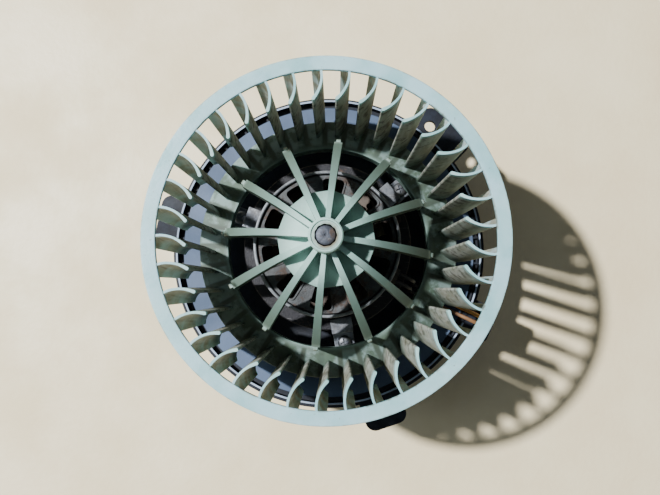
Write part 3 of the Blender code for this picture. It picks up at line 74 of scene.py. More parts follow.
def half_width_of(node):
    low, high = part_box(node)
    return (high[0] - low[0]) / 2


def middle_of(node):
    low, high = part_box(node)
    return (Vector(low) + Vector(high)) / 2


RING_TOP = top_of("wheel_cage")
RING_RADIUS = half_width_of("wheel_cage")
HUB_TOP = top_of("wheel_hub")
COLLAR_BOTTOM = bottom_of("wheel_hub")
SHAFT_TOP = top_of("motor_shaft")
SHAFT_RADIUS = half_width_of("motor_shaft")
CAN_TOP = top_of("motor_can")
SHIELD_CUP_TOP = top_of("end_shield")
CUP_TOP = top_of("motor_cup")
CUP_RADIUS = 38.8 * MM
CAN_RADIUS = 33.0 * MM
STEP_INNER = 56.0 * MM
STEP_OUTER = 72.8 * MM
WALL_INNER = 75.2 * MM
WALL_OUTER = 76.2 * MM
FLANGE_EDGE = 78.4 * MM
FLANGE_DEPTH = 2.5 * MM
STEP_TOP = bottom_of("mounting_flange") + FLANGE_DEPTH + 2.5 * MM
print("ring top", round(RING_TOP, 4), "ring radius", round(RING_RADIUS, 4), "hub top", round(HUB_TOP, 4))

# %% [markdown]
# ## Modelling helpers
#
# Most of this object is turned or moulded. A lathe profile spun about Z makes the turned pieces,
# an outline pulled into a slab makes the flat ones, and Boolean modifiers join mouldings into one
# closed skin. Small bevels keep every edge from looking cut by a laser.

# %% Helpers for meshes
WELD = 0.002 * MM
PIECES = bpy.data.collections.new("finished_pieces")
bpy.context.scene.collection.children.link(PIECES)


def to_object(bm, name):
    """Turn a bmesh into an object at the origin; normals are worked out on the merged mesh."""
    bmesh.ops.remove_doubles(bm, verts=bm.verts, dist=WELD)
    bmesh.ops.recalc_face_normals(bm, faces=bm.faces)
    mesh = bpy.data.meshes.new(name)
    bm.to_mesh(mesh)
    bm.free()
    obj = bpy.data.objects.new(name, mesh)
    PIECES.objects.link(obj)
    return obj


def lathe(name, profile, steps=96, closed=True):
    """Spin (radius, z) points about Z. A closed profile makes a ring, an open one ends on Z."""
    bm = bmesh.new()
    verts = [bm.verts.new((radius, 0.0, z)) for radius, z in profile]
    edges = [bm.edges.new(pair) for pair in zip(verts, verts[1:])]
    if closed:
        edges.append(bm.edges.new((verts[-1], verts[0])))
    bmesh.ops.spin(bm, geom=verts + edges, cent=(0, 0, 0), axis=(0, 0, 1), angle=2 * pi,
                   steps=steps, use_merge=True)
    return to_object(bm, name)


def rounded(profile, radius, pieces=3):
    """Replace each corner of a closed profile by a short arc-like run of points."""
    count = len(profile)
    result = []
    for index, corner in enumerate(profile):
        here = Vector(corner)
        before = Vector(profile[index - 1]) - here
        after = Vector(profile[(index + 1) % count]) - here
        cut = min(radius, before.length * 0.45, after.length * 0.45)
        start = here + before.normalized() * cut
        end = here + after.normalized() * cut
        for piece in range(pieces + 1):
            t = piece / pieces
            point = start * (1 - t) ** 2 + here * 2 * t * (1 - t) + end * t ** 2
            result.append((point.x, point.y))
    return result


def slab(bm, outline, bottom, top):
    """Add a prism over an XY outline, between two heights."""
    verts = [bm.verts.new((x, y, bottom)) for x, y in outline]
    face = bm.faces.new(verts)
    made = bmesh.ops.extrude_face_region(bm, geom=[face])["geom"]
    upper = [item for item in made if isinstance(item, bmesh.types.BMVert)]
    bmesh.ops.translate(bm, verts=upper, vec=(0, 0, top - bottom))


def bevel_sharp(bm, width, segments=2, angle=radians(40)):
    """Round every edge that is sharper than the angle."""
    edges = [edge for edge in bm.edges
             if len(edge.link_faces) == 2 and edge.calc_face_angle(0.0) > angle]
    bmesh.ops.bevel(bm, geom=edges, offset=width, segments=segments, profile=0.5,
                    affect="EDGES", material=-1, clamp_overlap=True)


def turn(bm, angle):
    """Turn everything in the bmesh about Z."""
    bmesh.ops.rotate(bm, verts=bm.verts, cent=(0, 0, 0), matrix=Matrix.Rotation(angle, 3, "Z"))


def repeat_round(bm, count):
    """Copy what is in the bmesh round Z until there are count of it."""
    source = bm.verts[:] + bm.edges[:] + bm.faces[:]
    bmesh.ops.spin(bm, geom=source, cent=(0, 0, 0), axis=(0, 0, 1),
                   angle=2 * pi * (count - 1) / count, steps=count - 1, use_duplicate=True)


def pin(bm, radius, tip, depth, centre, segments=40):
    """Add an upright cylinder, or a cone cut short, round a centre."""
    made = bmesh.ops.create_cone(bm, cap_ends=True, segments=segments, radius1=radius,
                                 radius2=tip, depth=depth)
    bmesh.ops.translate(bm, verts=made["verts"], vec=centre)


def merge_shapes(base, others, operation="UNION"):
    """Join closed shapes to the base, or cut them from it, and keep one plain mesh."""
    for other in others:
        modifier = base.modifiers.new("join", "BOOLEAN")
        modifier.operation = operation
        modifier.solver = "MANIFOLD"
        modifier.object = other
    depsgraph = bpy.context.evaluated_depsgraph_get()
    mesh = bpy.data.meshes.new_from_object(base.evaluated_get(depsgraph))
    base.modifiers.clear()
    base.data = mesh
    for other in others:
        bpy.data.objects.remove(other, do_unlink=True)
    return base


def finish_piece(obj, body, material, nodes, slot, sharp=radians(32), weighted=True):
    """Shade, paint and fasten a finished piece, and hide the solids that it stands for."""
    obj.data.materials.clear()
    obj.data.materials.append(material)
    obj.data.shade_smooth()
    obj.data.set_sharp_from_angle(angle=sharp)
    if weighted:
        normals = obj.modifiers.new("even_normals", "WEIGHTED_NORMAL")
        normals.keep_sharp = True
    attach(obj, body)
    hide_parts(*nodes)
    print(obj.name, len(obj.data.polygons), "faces")


def polar(radius, angle):
    """The point at a radius and an angle, level with Z = 0."""
    return Vector((radius * cos(angle), radius * sin(angle), 0.0))


# %% [markdown]
# ## Camera and light
#
# The blower stands on its motor and is seen from almost straight above, about 30 cm over the
# wheel, so the far pieces look much smaller than the near ones. One distant lamp at the upper left
# gives the light its direction and the shadow its edge. A near, wide and weak lamp and a pale sky
# lighten what lies in shadow.

# %% Camera
EYE = (4.8 * MM, -26.4 * MM, RING_TOP + 290 * MM)
TILT_FORWARD = radians(4.4)
TILT_SIDEWAYS = radians(0.63)
camera_data = bpy.data.cameras.new("camera")
camera_data.lens = 39.5
camera_data.sensor_width = 36.0
camera = bpy.data.objects.new("camera", camera_data)
camera.location = EYE
camera.rotation_euler = (TILT_FORWARD, TILT_SIDEWAYS, 0.0)
bpy.context.scene.collection.objects.link(camera)
bpy.context.scene.camera = camera
print("camera at", tuple(round(value, 3) for value in camera.location))


# %% Lamps and sky
MIDDLE_OF_BLOWER = Vector((0.0, 0.0, 80 * MM))


def area_lamp(name, position, size, power, colour):
    """A round lamp that looks at the middle of the blower."""
    data = bpy.data.lights.new(name, "AREA")
    data.shape = "DISK"
    data.size = size
    data.energy = power
    data.color = colour
    lamp = bpy.data.objects.new(name, data)
    lamp.location = position
    aim = MIDDLE_OF_BLOWER - Vector(position)
    lamp.rotation_euler = aim.to_track_quat("-Z", "Y").to_euler()
    bpy.context.scene.collection.objects.link(lamp)


area_lamp("window", (-1.50, 0.56, 2.50), size=0.14, power=196.0, colour=(0.97, 0.98, 1.0))
area_lamp("fill", (-0.75, 0.10, 0.75), size=0.7, power=2.4, colour=(0.76, 0.90, 1.0))
world = bpy.data.worlds.new("soft_sky")
world.use_nodes = True
sky = world.node_tree.nodes["Background"]
sky.inputs["Color"].default_value = (0.80, 0.90, 1.0, 1.0)
sky.inputs["Strength"].default_value = 0.115
bpy.context.scene.world = world
print("lamps: window, fill; sky: soft_sky")


# %% [markdown]
# ## Materials
#
# No surface on a used blower is one even colour: moulded plastic has a faint cloud in it, dust
# settles where the air is slow, steel rusts in patches. Each effect that several finishes share
# is a node group that puts out a mask or a height, and each finish mixes it in at its own
# strength. All of them read object coordinates, which are metres here.

# %% Building blocks for node trees
def wire(tree, source, target):
    tree.links.new(source, target)


def add_node(tree, kind, **settings):
    node = tree.nodes.new(kind)
    for key, value in settings.items():
        setattr(node, key, value)
    return node


def noise(tree, coordinates, scale, detail=4.0, roughness=0.55):
    node = add_node(tree, "ShaderNodeTexNoise")
    node.inputs["Scale"].default_value = scale
    node.inputs["Detail"].default_value = detail
    node.inputs["Roughness"].default_value = roughness
    wire(tree, coordinates, node.inputs["Vector"])
    return node.outputs["Fac"]


def remap(tree, value, low, high, out_low=0.0, out_high=1.0):
    """Smooth step from out_low, where the value is low, to out_high, where it is high."""
    node = add_node(tree, "ShaderNodeMapRange", interpolation_type="SMOOTHSTEP")
    node.inputs["From Min"].default_value = low
    node.inputs["From Max"].default_value = high
    node.inputs["To Min"].default_value = out_low
    node.inputs["To Max"].default_value = out_high
    wire(tree, value, node.inputs["Value"])
    return node.outputs["Result"]


def maths(tree, operation, first, second=None):
    node = add_node(tree, "ShaderNodeMath", operation=operation)
    for socket, value in zip(node.inputs, (first, second)):
        if value is None:
            continue
        if isinstance(value, (int, float)):
            socket.default_value = value
        else:
            wire(tree, value, socket)
    return node.outputs["Value"]


def product(tree, *factors):
    """The factors multiplied together."""
    result = factors[0]
    for factor in factors[1:]:
        result = maths(tree, "MULTIPLY", result, factor)
    return result


def largest(tree, *values):
    """The largest of the values, so that masks lie over each other without adding up."""
    result = values[0]
    for value in values[1:]:
        result = maths(tree, "MAXIMUM", result, value)
    return result


def radius_and_height(tree, coordinates):
    """Distance from the rotor's axis, and height, as two sockets."""
    split = add_node(tree, "ShaderNodeSeparateXYZ")
    wire(tree, coordinates, split.inputs["Vector"])
    flat = add_node(tree, "ShaderNodeVectorMath", operation="MULTIPLY")
    flat.inputs[1].default_value = (1.0, 1.0, 0.0)
    wire(tree, coordinates, flat.inputs[0])
    length = add_node(tree, "ShaderNodeVectorMath", operation="LENGTH")
    wire(tree, flat.outputs["Vector"], length.inputs[0])
    return length.outputs["Value"], split.outputs["Z"]


def upward(tree):
    """How far a face looks up: the Z of its normal."""
    facing = add_node(tree, "ShaderNodeSeparateXYZ")
    wire(tree, add_node(tree, "ShaderNodeNewGeometry").outputs["Normal"],
         facing.inputs["Vector"])
    return facing.outputs["Z"]


def blend_colour(tree, factor, first, second):
    """The first colour where the factor is 0, the second where it is 1."""
    node = add_node(tree, "ShaderNodeMix", data_type="RGBA")
    for socket, value in zip((node.inputs[0], node.inputs[6], node.inputs[7]),
                             (factor, first, second)):
        if isinstance(value, (int, float)):
            socket.default_value = value
        elif isinstance(value, tuple):
            socket.default_value = (*value, 1.0)
        else:
            wire(tree, value, socket)
    return node.outputs[2]


def new_group(name, inputs, outputs):
    """A node group with float inputs (with defaults) and float or vector outputs."""
    group = bpy.data.node_groups.new(name, "ShaderNodeTree")
    group.interface.new_socket("Vector", in_out="INPUT", socket_type="NodeSocketVector")
    for label, value in inputs:
        socket = group.interface.new_socket(label, in_out="INPUT", socket_type="NodeSocketFloat")
        socket.default_value = value
    for label in outputs:
        group.interface.new_socket(label, in_out="OUTPUT", socket_type="NodeSocketFloat")
    return group, group.nodes.new("NodeGroupInput"), group.nodes.new("NodeGroupOutput")


# %% Group: cloud, a soft uneven tone with fine grain on top
def make_cloud_group():
    group, given, out = new_group("cloud", [("Scale", 60.0), ("Grain", 900.0)],
                                  ["Broad", "Fine"])
    broad = add_node(group, "ShaderNodeTexNoise")
    broad.inputs["Detail"].default_value = 5.0
    broad.inputs["Roughness"].default_value = 0.6
    wire(group, given.outputs["Vector"], broad.inputs["Vector"])
    wire(group, given.outputs["Scale"], broad.inputs["Scale"])
    fine = add_node(group, "ShaderNodeTexNoise")
    fine.inputs["Detail"].default_value = 3.0
    wire(group, given.outputs["Vector"], fine.inputs["Vector"])
    wire(group, given.outputs["Grain"], fine.inputs["Scale"])
    wire(group, remap(group, broad.outputs["Fac"], 0.3, 0.7), out.inputs["Broad"])
    wire(group, remap(group, fine.outputs["Fac"], 0.3, 0.7), out.inputs["Fine"])
    return group


# %% Group: dust, which lies on faces that look up and gathers in clumps
def make_dust_group():
    group, given, out = new_group("dust", [("Amount", 0.5), ("Clump", 140.0)], ["Mask"])
    facing = remap(group, upward(group), 0.1, 0.95)
    clumps = add_node(group, "ShaderNodeTexNoise")
    clumps.inputs["Detail"].default_value = 6.0
    clumps.inputs["Roughness"].default_value = 0.7
    wire(group, given.outputs["Vector"], clumps.inputs["Vector"])
    wire(group, given.outputs["Clump"], clumps.inputs["Scale"])
    patchy = remap(group, clumps.outputs["Fac"], 0.38, 0.68)
    some = maths(group, "ADD", product(group, patchy, 0.75), 0.25)
    wire(group, product(group, facing, some, given.outputs["Amount"]), out.inputs["Mask"])
    return group


# %% Group: scratches, long thin marks in two directions
def make_scratch_group():
    group, given, out = new_group("scratches", [("Scale", 120.0), ("Amount", 1.0)], ["Mask"])
    masks = []
    for angle, stretch in ((0.4, 14.0), (-1.1, 9.0)):
        mapping = add_node(group, "ShaderNodeMapping")
        mapping.inputs["Rotation"].default_value = (0.3, 0.2, angle)
        mapping.inputs["Scale"].default_value = (1.0, stretch, stretch)
        wire(group, given.outputs["Vector"], mapping.inputs["Vector"])
        lines = add_node(group, "ShaderNodeTexNoise")
        lines.inputs["Detail"].default_value = 2.0
        wire(group, mapping.outputs["Vector"], lines.inputs["Vector"])
        wire(group, given.outputs["Scale"], lines.inputs["Scale"])
        masks.append(remap(group, lines.outputs["Fac"], 0.68, 0.74))
    wire(group, product(group, largest(group, *masks), given.outputs["Amount"]),
         out.inputs["Mask"])
    return group


CLOUD = make_cloud_group()
DUST = make_dust_group()
SCRATCHES = make_scratch_group()
print("groups:", CLOUD.name, DUST.name, SCRATCHES.name)


# %% A finish: base tone, cloud, dust, scratches, bump
DUST_COLOUR = (0.22, 0.19, 0.15)


def use_group(tree, group, coordinates, **values):
    node = add_node(tree, "ShaderNodeGroup", node_tree=group)
    wire(tree, coordinates, node.inputs["Vector"])
    for label, value in values.items():
        node.inputs[label].default_value = value
    return node


FINISHES = {}


def start_material(name):
    material = bpy.data.materials.new(name)
    FINISHES[name] = material
    material.use_nodes = True
    tree = material.node_tree
    coordinates = add_node(tree, "ShaderNodeTexCoord").outputs["Object"]
    return material, tree, tree.nodes["Principled BSDF"], coordinates


def bump_into(tree, shader, height, distance):
    bump = add_node(tree, "ShaderNodeBump")
    bump.inputs["Distance"].default_value = distance
    bump.inputs["Strength"].default_value = 1.0
    wire(tree, height, bump.inputs["Height"])
    wire(tree, bump.outputs["Normal"], shader.inputs["Normal"])


def finish_material(name, light, dark, roughness, metallic=0.0, cloud=60.0, grain=900.0,
                    dust=0.3, scratch=0.3, bump=0.02 * MM, gloss_spread=0.12,
                    dust_colour=DUST_COLOUR):
    """The general finish: two tones in a cloud, dust on top, scratches and a grained surface."""
    material, tree, shader, coordinates = start_material(name)
    tones = use_group(tree, CLOUD, coordinates, Scale=cloud, Grain=grain)
    colour = blend_colour(tree, tones.outputs["Broad"], dark, light)
    marks = use_group(tree, SCRATCHES, coordinates, Amount=scratch).outputs["Mask"]
    worn = tuple(min(1.0, value * 1.5 + 0.02) for value in light)
    colour = blend_colour(tree, marks, colour, worn)
    film = use_group(tree, DUST, coordinates, Amount=dust).outputs["Mask"]
    colour = blend_colour(tree, film, colour, dust_colour)
    wire(tree, colour, shader.inputs["Base Color"])
    gloss = remap(tree, tones.outputs["Broad"], 0.0, 1.0, roughness + gloss_spread,
                  roughness - gloss_spread)
    gloss = maths(tree, "MINIMUM", maths(tree, "ADD", gloss, product(tree, film, 0.4)), 1.0)
    wire(tree, gloss, shader.inputs["Roughness"])
    shader.inputs["Metallic"].default_value = metallic
    height = maths(tree, "SUBTRACT", tones.outputs["Fine"], marks)
    bump_into(tree, shader, height, bump)
    return material


# %% [markdown]
# ### Natural nylon
#
# The wheel is moulded in undyed nylon: pale, a little green, and milky, so light soaks into thin
# blades and comes out on the shaded side. Subsurface scattering gives that. Grey-brown dirt has
# settled low in the cage and along the inner edges, where it turns the plastic olive; a height
# mask and a radius mask place it. Painted shade is mixed into that dark: the back plate darkens
# towards the bottom, a dark line runs along each blade's root and round the lip, and the ribs'
# upright sides are painted darker than their tops.

# %% Nylon of the wheel
RING_TONES = ((0.25, 0.49, 0.52), (0.38, 0.61, 0.635))
HUB_TONES = ((0.30, 0.50, 0.44), (0.42, 0.62, 0.56))
BLADE_DIRT = ((0.230, 0.228, 0.165), (0.370, 0.375, 0.320))
# The back plate's dirt; its dark end also stands for painted shade low in the cage.
BOWL_DIRT_AND_SHADE = ((0.040, 0.058, 0.026), (0.190, 0.270, 0.250))
# Painted shade along each blade's root and in the corner at the lip.
ROOT_SHADE = (0.030, 0.038, 0.018)
LIP_SHADE = (0.075, 0.110, 0.085)
ARM_TOP_DIRT = (0.115, 0.195, 0.165)
# Upright sides of the ribs: dirt and painted shade, darker than the rib tops.
ARM_SIDE_DIRT_AND_SHADE = (0.046, 0.070, 0.046)
LUMP_DIRT = (0.040, 0.036, 0.022)
RIM_DIRT = (0.17, 0.17, 0.12)
BORE_STAIN = (0.15, 0.075, 0.025)
BLUE_MOTTLE = (0.43, 0.66, 0.74)
SPECK = (0.13, 0.11, 0.07)


def angle_round(tree, coordinates):
    """Angle about the rotor's axis, in radians."""
    place = add_node(tree, "ShaderNodeSeparateXYZ")
    wire(tree, coordinates, place.inputs["Vector"])
    return maths(tree, "ARCTAN2", place.outputs["Y"], place.outputs["X"])


def bowl_dirt(tree, coordinates, radius, blotch, outside):
    """Back plate's colour: patchy dirt and painted shade, darkest along each blade's root where painted
    shade lies, with a milder painted shade at the lip.
    """
    dirt_and_shade = blend_colour(tree, remap(tree, blotch, 0.25, 0.85), *BOWL_DIRT_AND_SHADE)
    # Painted shade: a dark line along the foot of each blade.
    phase = maths(tree, "SUBTRACT", angle_round(tree, coordinates), BLADE_START)
    root = remap(tree, maths(tree, "COSINE", product(tree, phase, BLADES)), 0.30, 0.95)
    dirt_and_shade = blend_colour(tree, product(tree, root, 0.85), dirt_and_shade, ROOT_SHADE)
    # Painted shade near the lip, where the back plate meets the collar.
    lip_shade_mask = product(tree, remap(tree, radius, 50.5 * MM, 47.5 * MM), outside)
    return blend_colour(tree, lip_shade_mask, dirt_and_shade, LIP_SHADE)


def nylon():
    material, tree, shader, coordinates = start_material("natural_nylon")
    tones = use_group(tree, CLOUD, coordinates, Scale=42.0, Grain=700.0)
    radius, height = radius_and_height(tree, coordinates)

    # The clean plastic: bluish in the thin ring, greener in the thick middle.
    colour = blend_colour(tree, tones.outputs["Broad"], *RING_TONES)
    middle = blend_colour(tree, tones.outputs["Broad"], *HUB_TONES)
    colour = blend_colour(tree, remap(tree, radius, 66 * MM, 50 * MM), colour, middle)

    # Masks that tell sides from tops, and clean places from dirty ones.
    side = remap(tree, maths(tree, "ABSOLUTE", upward(tree)), 0.95, 0.35)
    blotch = remap(tree, noise(tree, coordinates, 90.0, 6.0, 0.65), 0.30, 0.66)
    upright = add_node(tree, "ShaderNodeMapping")
    upright.inputs["Scale"].default_value = (1.0, 1.0, 0.16)
    wire(tree, coordinates, upright.inputs["Vector"])
    streak = remap(tree, noise(tree, upright.outputs["Vector"], 330.0, 5.0, 0.6), 0.35, 0.65)
    outside = remap(tree, radius, 44 * MM, 49 * MM)
    inside = maths(tree, "SUBTRACT", 1.0, outside)

    # Where dirt and painted shade lie: in the cage below the ring, on the arms, lightly on the hub;
    # upright faces of the arms and hub get more, as painted shade.
    cage = product(tree, outside, remap(tree, height, RING_TOP - 0.6 * MM, RING_TOP - 5 * MM),
                   remap(tree, blotch, 0.0, 1.0, 0.86, 1.0))
    arms = product(tree, remap(tree, radius, 11 * MM, 24 * MM), inside,
                   remap(tree, side, 0.0, 1.0, 0.78, 1.0))
    hub = product(tree, inside, remap(tree, side, 0.0, 1.0, 0.10, 0.62), blotch)
    dirt_and_shade = maths(tree, "MINIMUM", largest(tree, cage, arms, hub), 1.0)

    # What colour it has there.
    tone = blend_colour(tree, streak, *BLADE_DIRT)
    # The back plate's tone, darker towards the bottom: dirt and painted shade.
    low = remap(tree, height, BACK_EDGE_TOP + 24 * MM, BACK_EDGE_TOP + 3 * MM)
    tone = blend_colour(tree, low, tone, bowl_dirt(tree, coordinates, radius, blotch, outside))
    # Rib sides darker than rib tops: painted shade on the upright faces.
    arm_tone = blend_colour(tree, side, ARM_TOP_DIRT, ARM_SIDE_DIRT_AND_SHADE)
    tone = blend_colour(tree, inside, tone, arm_tone)
    colour = blend_colour(tree, dirt_and_shade, colour, tone)

    # Small marks: lumps on the blades, dark rims, the shaft's stain, mottle and specks.
    lumps = product(tree, remap(tree, noise(tree, coordinates, 240.0, 5.0, 0.6), 0.50, 0.60),
                    remap(tree, radius, 63 * MM, 59 * MM), cage, side)
    from_inner = maths(tree, "ABSOLUTE", maths(tree, "SUBTRACT", radius, RING_INNER))
    rims = largest(tree, remap(tree, radius, 74.3 * MM, 75.0 * MM),
                   remap(tree, from_inner, 0.1 * MM, 0.7 * MM, 1.0, 0.0))
    rims = product(tree, rims, remap(tree, streak, 0.2, 0.9, 0.1, 0.75))
    stain = product(tree, remap(tree, radius, 4.4 * MM, 6.2 * MM, 0.85, 0.0),
                    remap(tree, blotch, 0.0, 1.0, 0.35, 1.0))
    mottle = product(tree, remap(tree, noise(tree, coordinates, 75.0, 3.0, 0.5), 0.42, 0.62),
                     remap(tree, radius, 66 * MM, 69 * MM), 0.45)
    specks = product(tree, remap(tree, noise(tree, coordinates, 620.0, 2.0), 0.69, 0.75), 0.35)
    for mask, mark in ((product(tree, lumps, 0.7), LUMP_DIRT), (rims, RIM_DIRT),
                       (stain, BORE_STAIN), (mottle, BLUE_MOTTLE), (specks, SPECK)):
        colour = blend_colour(tree, mask, colour, mark)
    wire(tree, colour, shader.inputs["Base Color"])

    worn = maths(tree, "ADD", tones.outputs["Broad"], dirt_and_shade)
    wire(tree, remap(tree, worn, 0.0, 2.0, 0.40, 0.72), shader.inputs["Roughness"])
    shader.inputs["Subsurface Weight"].default_value = 0.18
    shader.inputs["Subsurface Radius"].default_value = (2.0, 2.8, 2.4)
    shader.inputs["Subsurface Scale"].default_value = 1.0 * MM
    bump_into(tree, shader, maths(tree, "ADD", tones.outputs["Fine"], dirt_and_shade), 0.025 * MM)
    return material


# %% [markdown]
# ## The wheel
#
# The real wheel is one moulding, so it ends up as one closed skin: the ring, back plate, collar,
# boss and disc are turned, one blade and one rib are shaped and copied round, and a union welds
# them. The blade's section is two arcs, gentle where the air enters and tight where it is thrown
# off, with a thicker rounded leading edge.

# %% Wheel sizes
RING_INNER = 69.0 * MM
RING_DEPTH = 2.0 * MM
BLADES = 37
BLADE_START = radians(81.8)
TIP_RADIUS = 57.2 * MM
APEX_RADIUS = 67.2 * MM
TAIL_RADIUS = 73.8 * MM
ENTRY_ARC = 15.0 * MM
EXIT_ARC = 7.2 * MM
TIP_HALF = 0.70 * MM
BODY_HALF = 0.48 * MM
TAIL_HALF = 0.42 * MM
FOOT_SCALE = 0.935
LIP_RADIUS = 47.1 * MM
LIP_TOP = 71.0 * MM
BACK_RADIUS = 61.7 * MM
BACK_EDGE_TOP = 66.0 * MM
BACK_DEPTH = 2.0 * MM
CAMBER_POINTS = 7
BLADE_LEVELS = 5
BLADE_CROWN = 0.22 * MM
COLLAR_WALL = 1.5 * MM
RIBS = 12
RIB_START = radians(83.7)


def back_top(radius):
    """Upper face of the coned back plate at a radius; level beyond its edge."""
    share = (min(radius, BACK_RADIUS) - LIP_RADIUS) / (BACK_RADIUS - LIP_RADIUS)
    return LIP_TOP + (BACK_EDGE_TOP - LIP_TOP) * share


print("blades:", BLADES, "ribs:", RIBS, "cone's fall, mm:", round((LIP_TOP - BACK_EDGE_TOP) / MM, 2))

# %% Ring and back plate
def wheel_ring():
    profile = [(RING_INNER, RING_TOP), (RING_RADIUS, RING_TOP),
               (RING_RADIUS, RING_TOP - RING_DEPTH), (RING_INNER, RING_TOP - RING_DEPTH)]
    return lathe("wheel", rounded(profile, 0.45 * MM), steps=296)


def back_plate():
    collar_out = LIP_RADIUS + COLLAR_WALL
    profile = [(LIP_RADIUS, LIP_TOP + 0.5 * MM), (collar_out, LIP_TOP + 0.3 * MM),
               (BACK_RADIUS, BACK_EDGE_TOP), (BACK_RADIUS, BACK_EDGE_TOP - BACK_DEPTH),
               (collar_out, back_top(collar_out) - BACK_DEPTH), (collar_out, COLLAR_BOTTOM),
               (LIP_RADIUS, COLLAR_BOTTOM)]
    return lathe("back_plate", rounded(profile, 0.4 * MM), steps=222)


# %% Blades
def camber():
    """Points of the blade's middle line at the ring, from leading edge to trailing edge."""
    count = CAMBER_POINTS
    points = []
    for index in range(count):
        back = (APEX_RADIUS - TIP_RADIUS) * (1 - index / count)
        points.append(Vector((APEX_RADIUS - back, ENTRY_ARC - sqrt(ENTRY_ARC ** 2 - back ** 2))))
    for index in range(count):
        ahead = (TAIL_RADIUS - APEX_RADIUS) * index / (count - 1)
        points.append(Vector((APEX_RADIUS + ahead, EXIT_ARC - sqrt(EXIT_ARC ** 2 - ahead ** 2))))
    return points


def blade_outline():
    """Closed section round the camber line, round and thick at the tip, thin at the tail."""
    line = camber()
    last = len(line) - 1
    near, far = [], []
    for index, point in enumerate(line):
        along = (line[min(index + 1, last)] - line[max(index - 1, 0)]).normalized()
        across = Vector((-along.y, along.x))
        share = index / last
        half = BODY_HALF + (TIP_HALF - BODY_HALF) * max(0.0, 1 - share * 5)
        half += (TAIL_HALF - BODY_HALF) * max(0.0, share * 2 - 1)
        near.append(point + across * half)
        far.append(point - across * half)
    heading = (line[0] - line[1]).normalized()
    nose = [line[0] + heading * TIP_HALF * 0.75 + (side - line[0]) * 0.55
            for side in (far[0], near[0])]
    return near + far[::-1] + nose


def blades():
    """One blade pulled down in steps, narrowing towards its foot, then copied round."""
    bm = bmesh.new()
    top = RING_TOP - 0.15 * MM
    shoulder = top - 0.2 * MM
    rim = [bm.verts.new((point.x, point.y, top)) for point in blade_outline()]
    bmesh.ops.inset_region(bm, faces=[bm.faces.new(rim)], thickness=BLADE_CROWN, depth=0.0)
    bmesh.ops.translate(bm, verts=rim, vec=(0, 0, shoulder - top))
    border = [edge for edge in bm.edges if len(edge.link_faces) == 1]
    for level in range(1, BLADE_LEVELS + 1):
        made = bmesh.ops.extrude_edge_only(bm, edges=border)["geom"]
        border = [item for item in made if isinstance(item, bmesh.types.BMEdge)]
        depth = level / BLADE_LEVELS
        before = 1 - (1 - FOOT_SCALE) * (level - 1) / BLADE_LEVELS
        now = 1 - (1 - FOOT_SCALE) * depth
        for vert in (item for item in made if isinstance(item, bmesh.types.BMVert)):
            vert.co.x *= now / before
            vert.co.y *= now / before
            foot = back_top(hypot(vert.co.x, vert.co.y)) - BACK_DEPTH * 0.6
            vert.co.z = shoulder + (foot - shoulder) * depth
    bmesh.ops.holes_fill(bm, edges=border, sides=0)
    repeat_round(bm, BLADES)
    turn(bm, BLADE_START)
    return to_object(bm, "blades")


# %% [markdown]
# A rib is a flat beam seen from the side: it springs from the boss, arches over the motor, ends
# in a small nib and drops to the collar. It is wider at its foot, and its top edges are chamfered
# so that the moulding leaves the tool. A beam swept along a curve would twist easily, so a rib's
# side view is drawn, pulled into a slab and stood up: every curve of it lies in that one view.

# %% Ribs, disc and boss
RIB_TIP = 47.6 * MM
RIB_TIP_TOP = 92.0 * MM
RIB_INNER = 5.7 * MM
RIB_HALF_INNER = 0.95 * MM
RIB_HALF_OUTER = 1.8 * MM
DISC_RADIUS = 19.9 * MM
DISC_EDGE_TOP = 116.0 * MM
DISC_RISE = 2.5 * MM
DISC_DEPTH = 1.8 * MM


def arch(start, control, end, pieces):
    """Points of a quadratic curve, without its last one."""
    start, control, end = Vector(start), Vector(control), Vector(end)
    return [start * (1 - t) ** 2 + control * 2 * t * (1 - t) + end * t ** 2
            for t in (index / pieces for index in range(pieces))]


RIB_NIB = 1.8 * MM
RIB_NIB_HALF = 1.0 * MM
RIB_CHAMFER = 0.6 * MM


def rib_outline():
    """Side view of a rib as (radius, height): over the top outwards, then back underneath."""
    spring_top = HUB_TOP - 6.5 * MM
    shoulder = (RIB_TIP - RIB_NIB, RIB_TIP_TOP + 1.4 * MM)
    upper = arch((RIB_INNER, spring_top), (24 * MM, spring_top - 1.5 * MM), shoulder, 12)
    end = [Vector(shoulder), Vector((shoulder[0], RIB_TIP_TOP - 9 * MM))]
    lower = arch((LIP_RADIUS - 4.0 * MM, RIB_TIP_TOP - 5 * MM), (37 * MM, RIB_TIP_TOP + 4 * MM),
                 (21.5 * MM, DISC_EDGE_TOP - 5 * MM), 8)
    root = [Vector((21.5 * MM, DISC_EDGE_TOP - 5 * MM)),
            Vector((12 * MM, DISC_EDGE_TOP - DISC_DEPTH)),
            Vector((RIB_INNER, DISC_EDGE_TOP - DISC_DEPTH))]
    return upper + end + lower + root


def ribs():
    bm = bmesh.new()
    outline = [(point.x, point.y) for point in rib_outline()]
    slab(bm, outline, -1.0, 1.0)
    for vert in bm.verts:
        share = (vert.co.x - RIB_INNER) / (RIB_TIP - RIB_INNER)
        half = RIB_HALF_INNER + (RIB_HALF_OUTER - RIB_HALF_INNER) * min(1.0, share * 1.15)
        vert.co = (vert.co.x, half * vert.co.z, vert.co.y)
    bmesh.ops.recalc_face_normals(bm, faces=bm.faces)
    crest = [edge for edge in bm.edges
             if edge.calc_face_angle(0.0) > radians(50)
             and sum(face.normal.z > 0.15 for face in edge.link_faces) == 1
             and all(vert.co.z > RIB_TIP_TOP for vert in edge.verts)
             and abs(edge.verts[0].co.y - edge.verts[1].co.y) < 0.5 * MM]
    bmesh.ops.bevel(bm, geom=crest, offset=RIB_CHAMFER, segments=2, profile=0.35, affect="EDGES",
                    material=-1, clamp_overlap=True)
    repeat_round(bm, RIBS)
    turn(bm, RIB_START)
    return to_object(bm, "ribs")


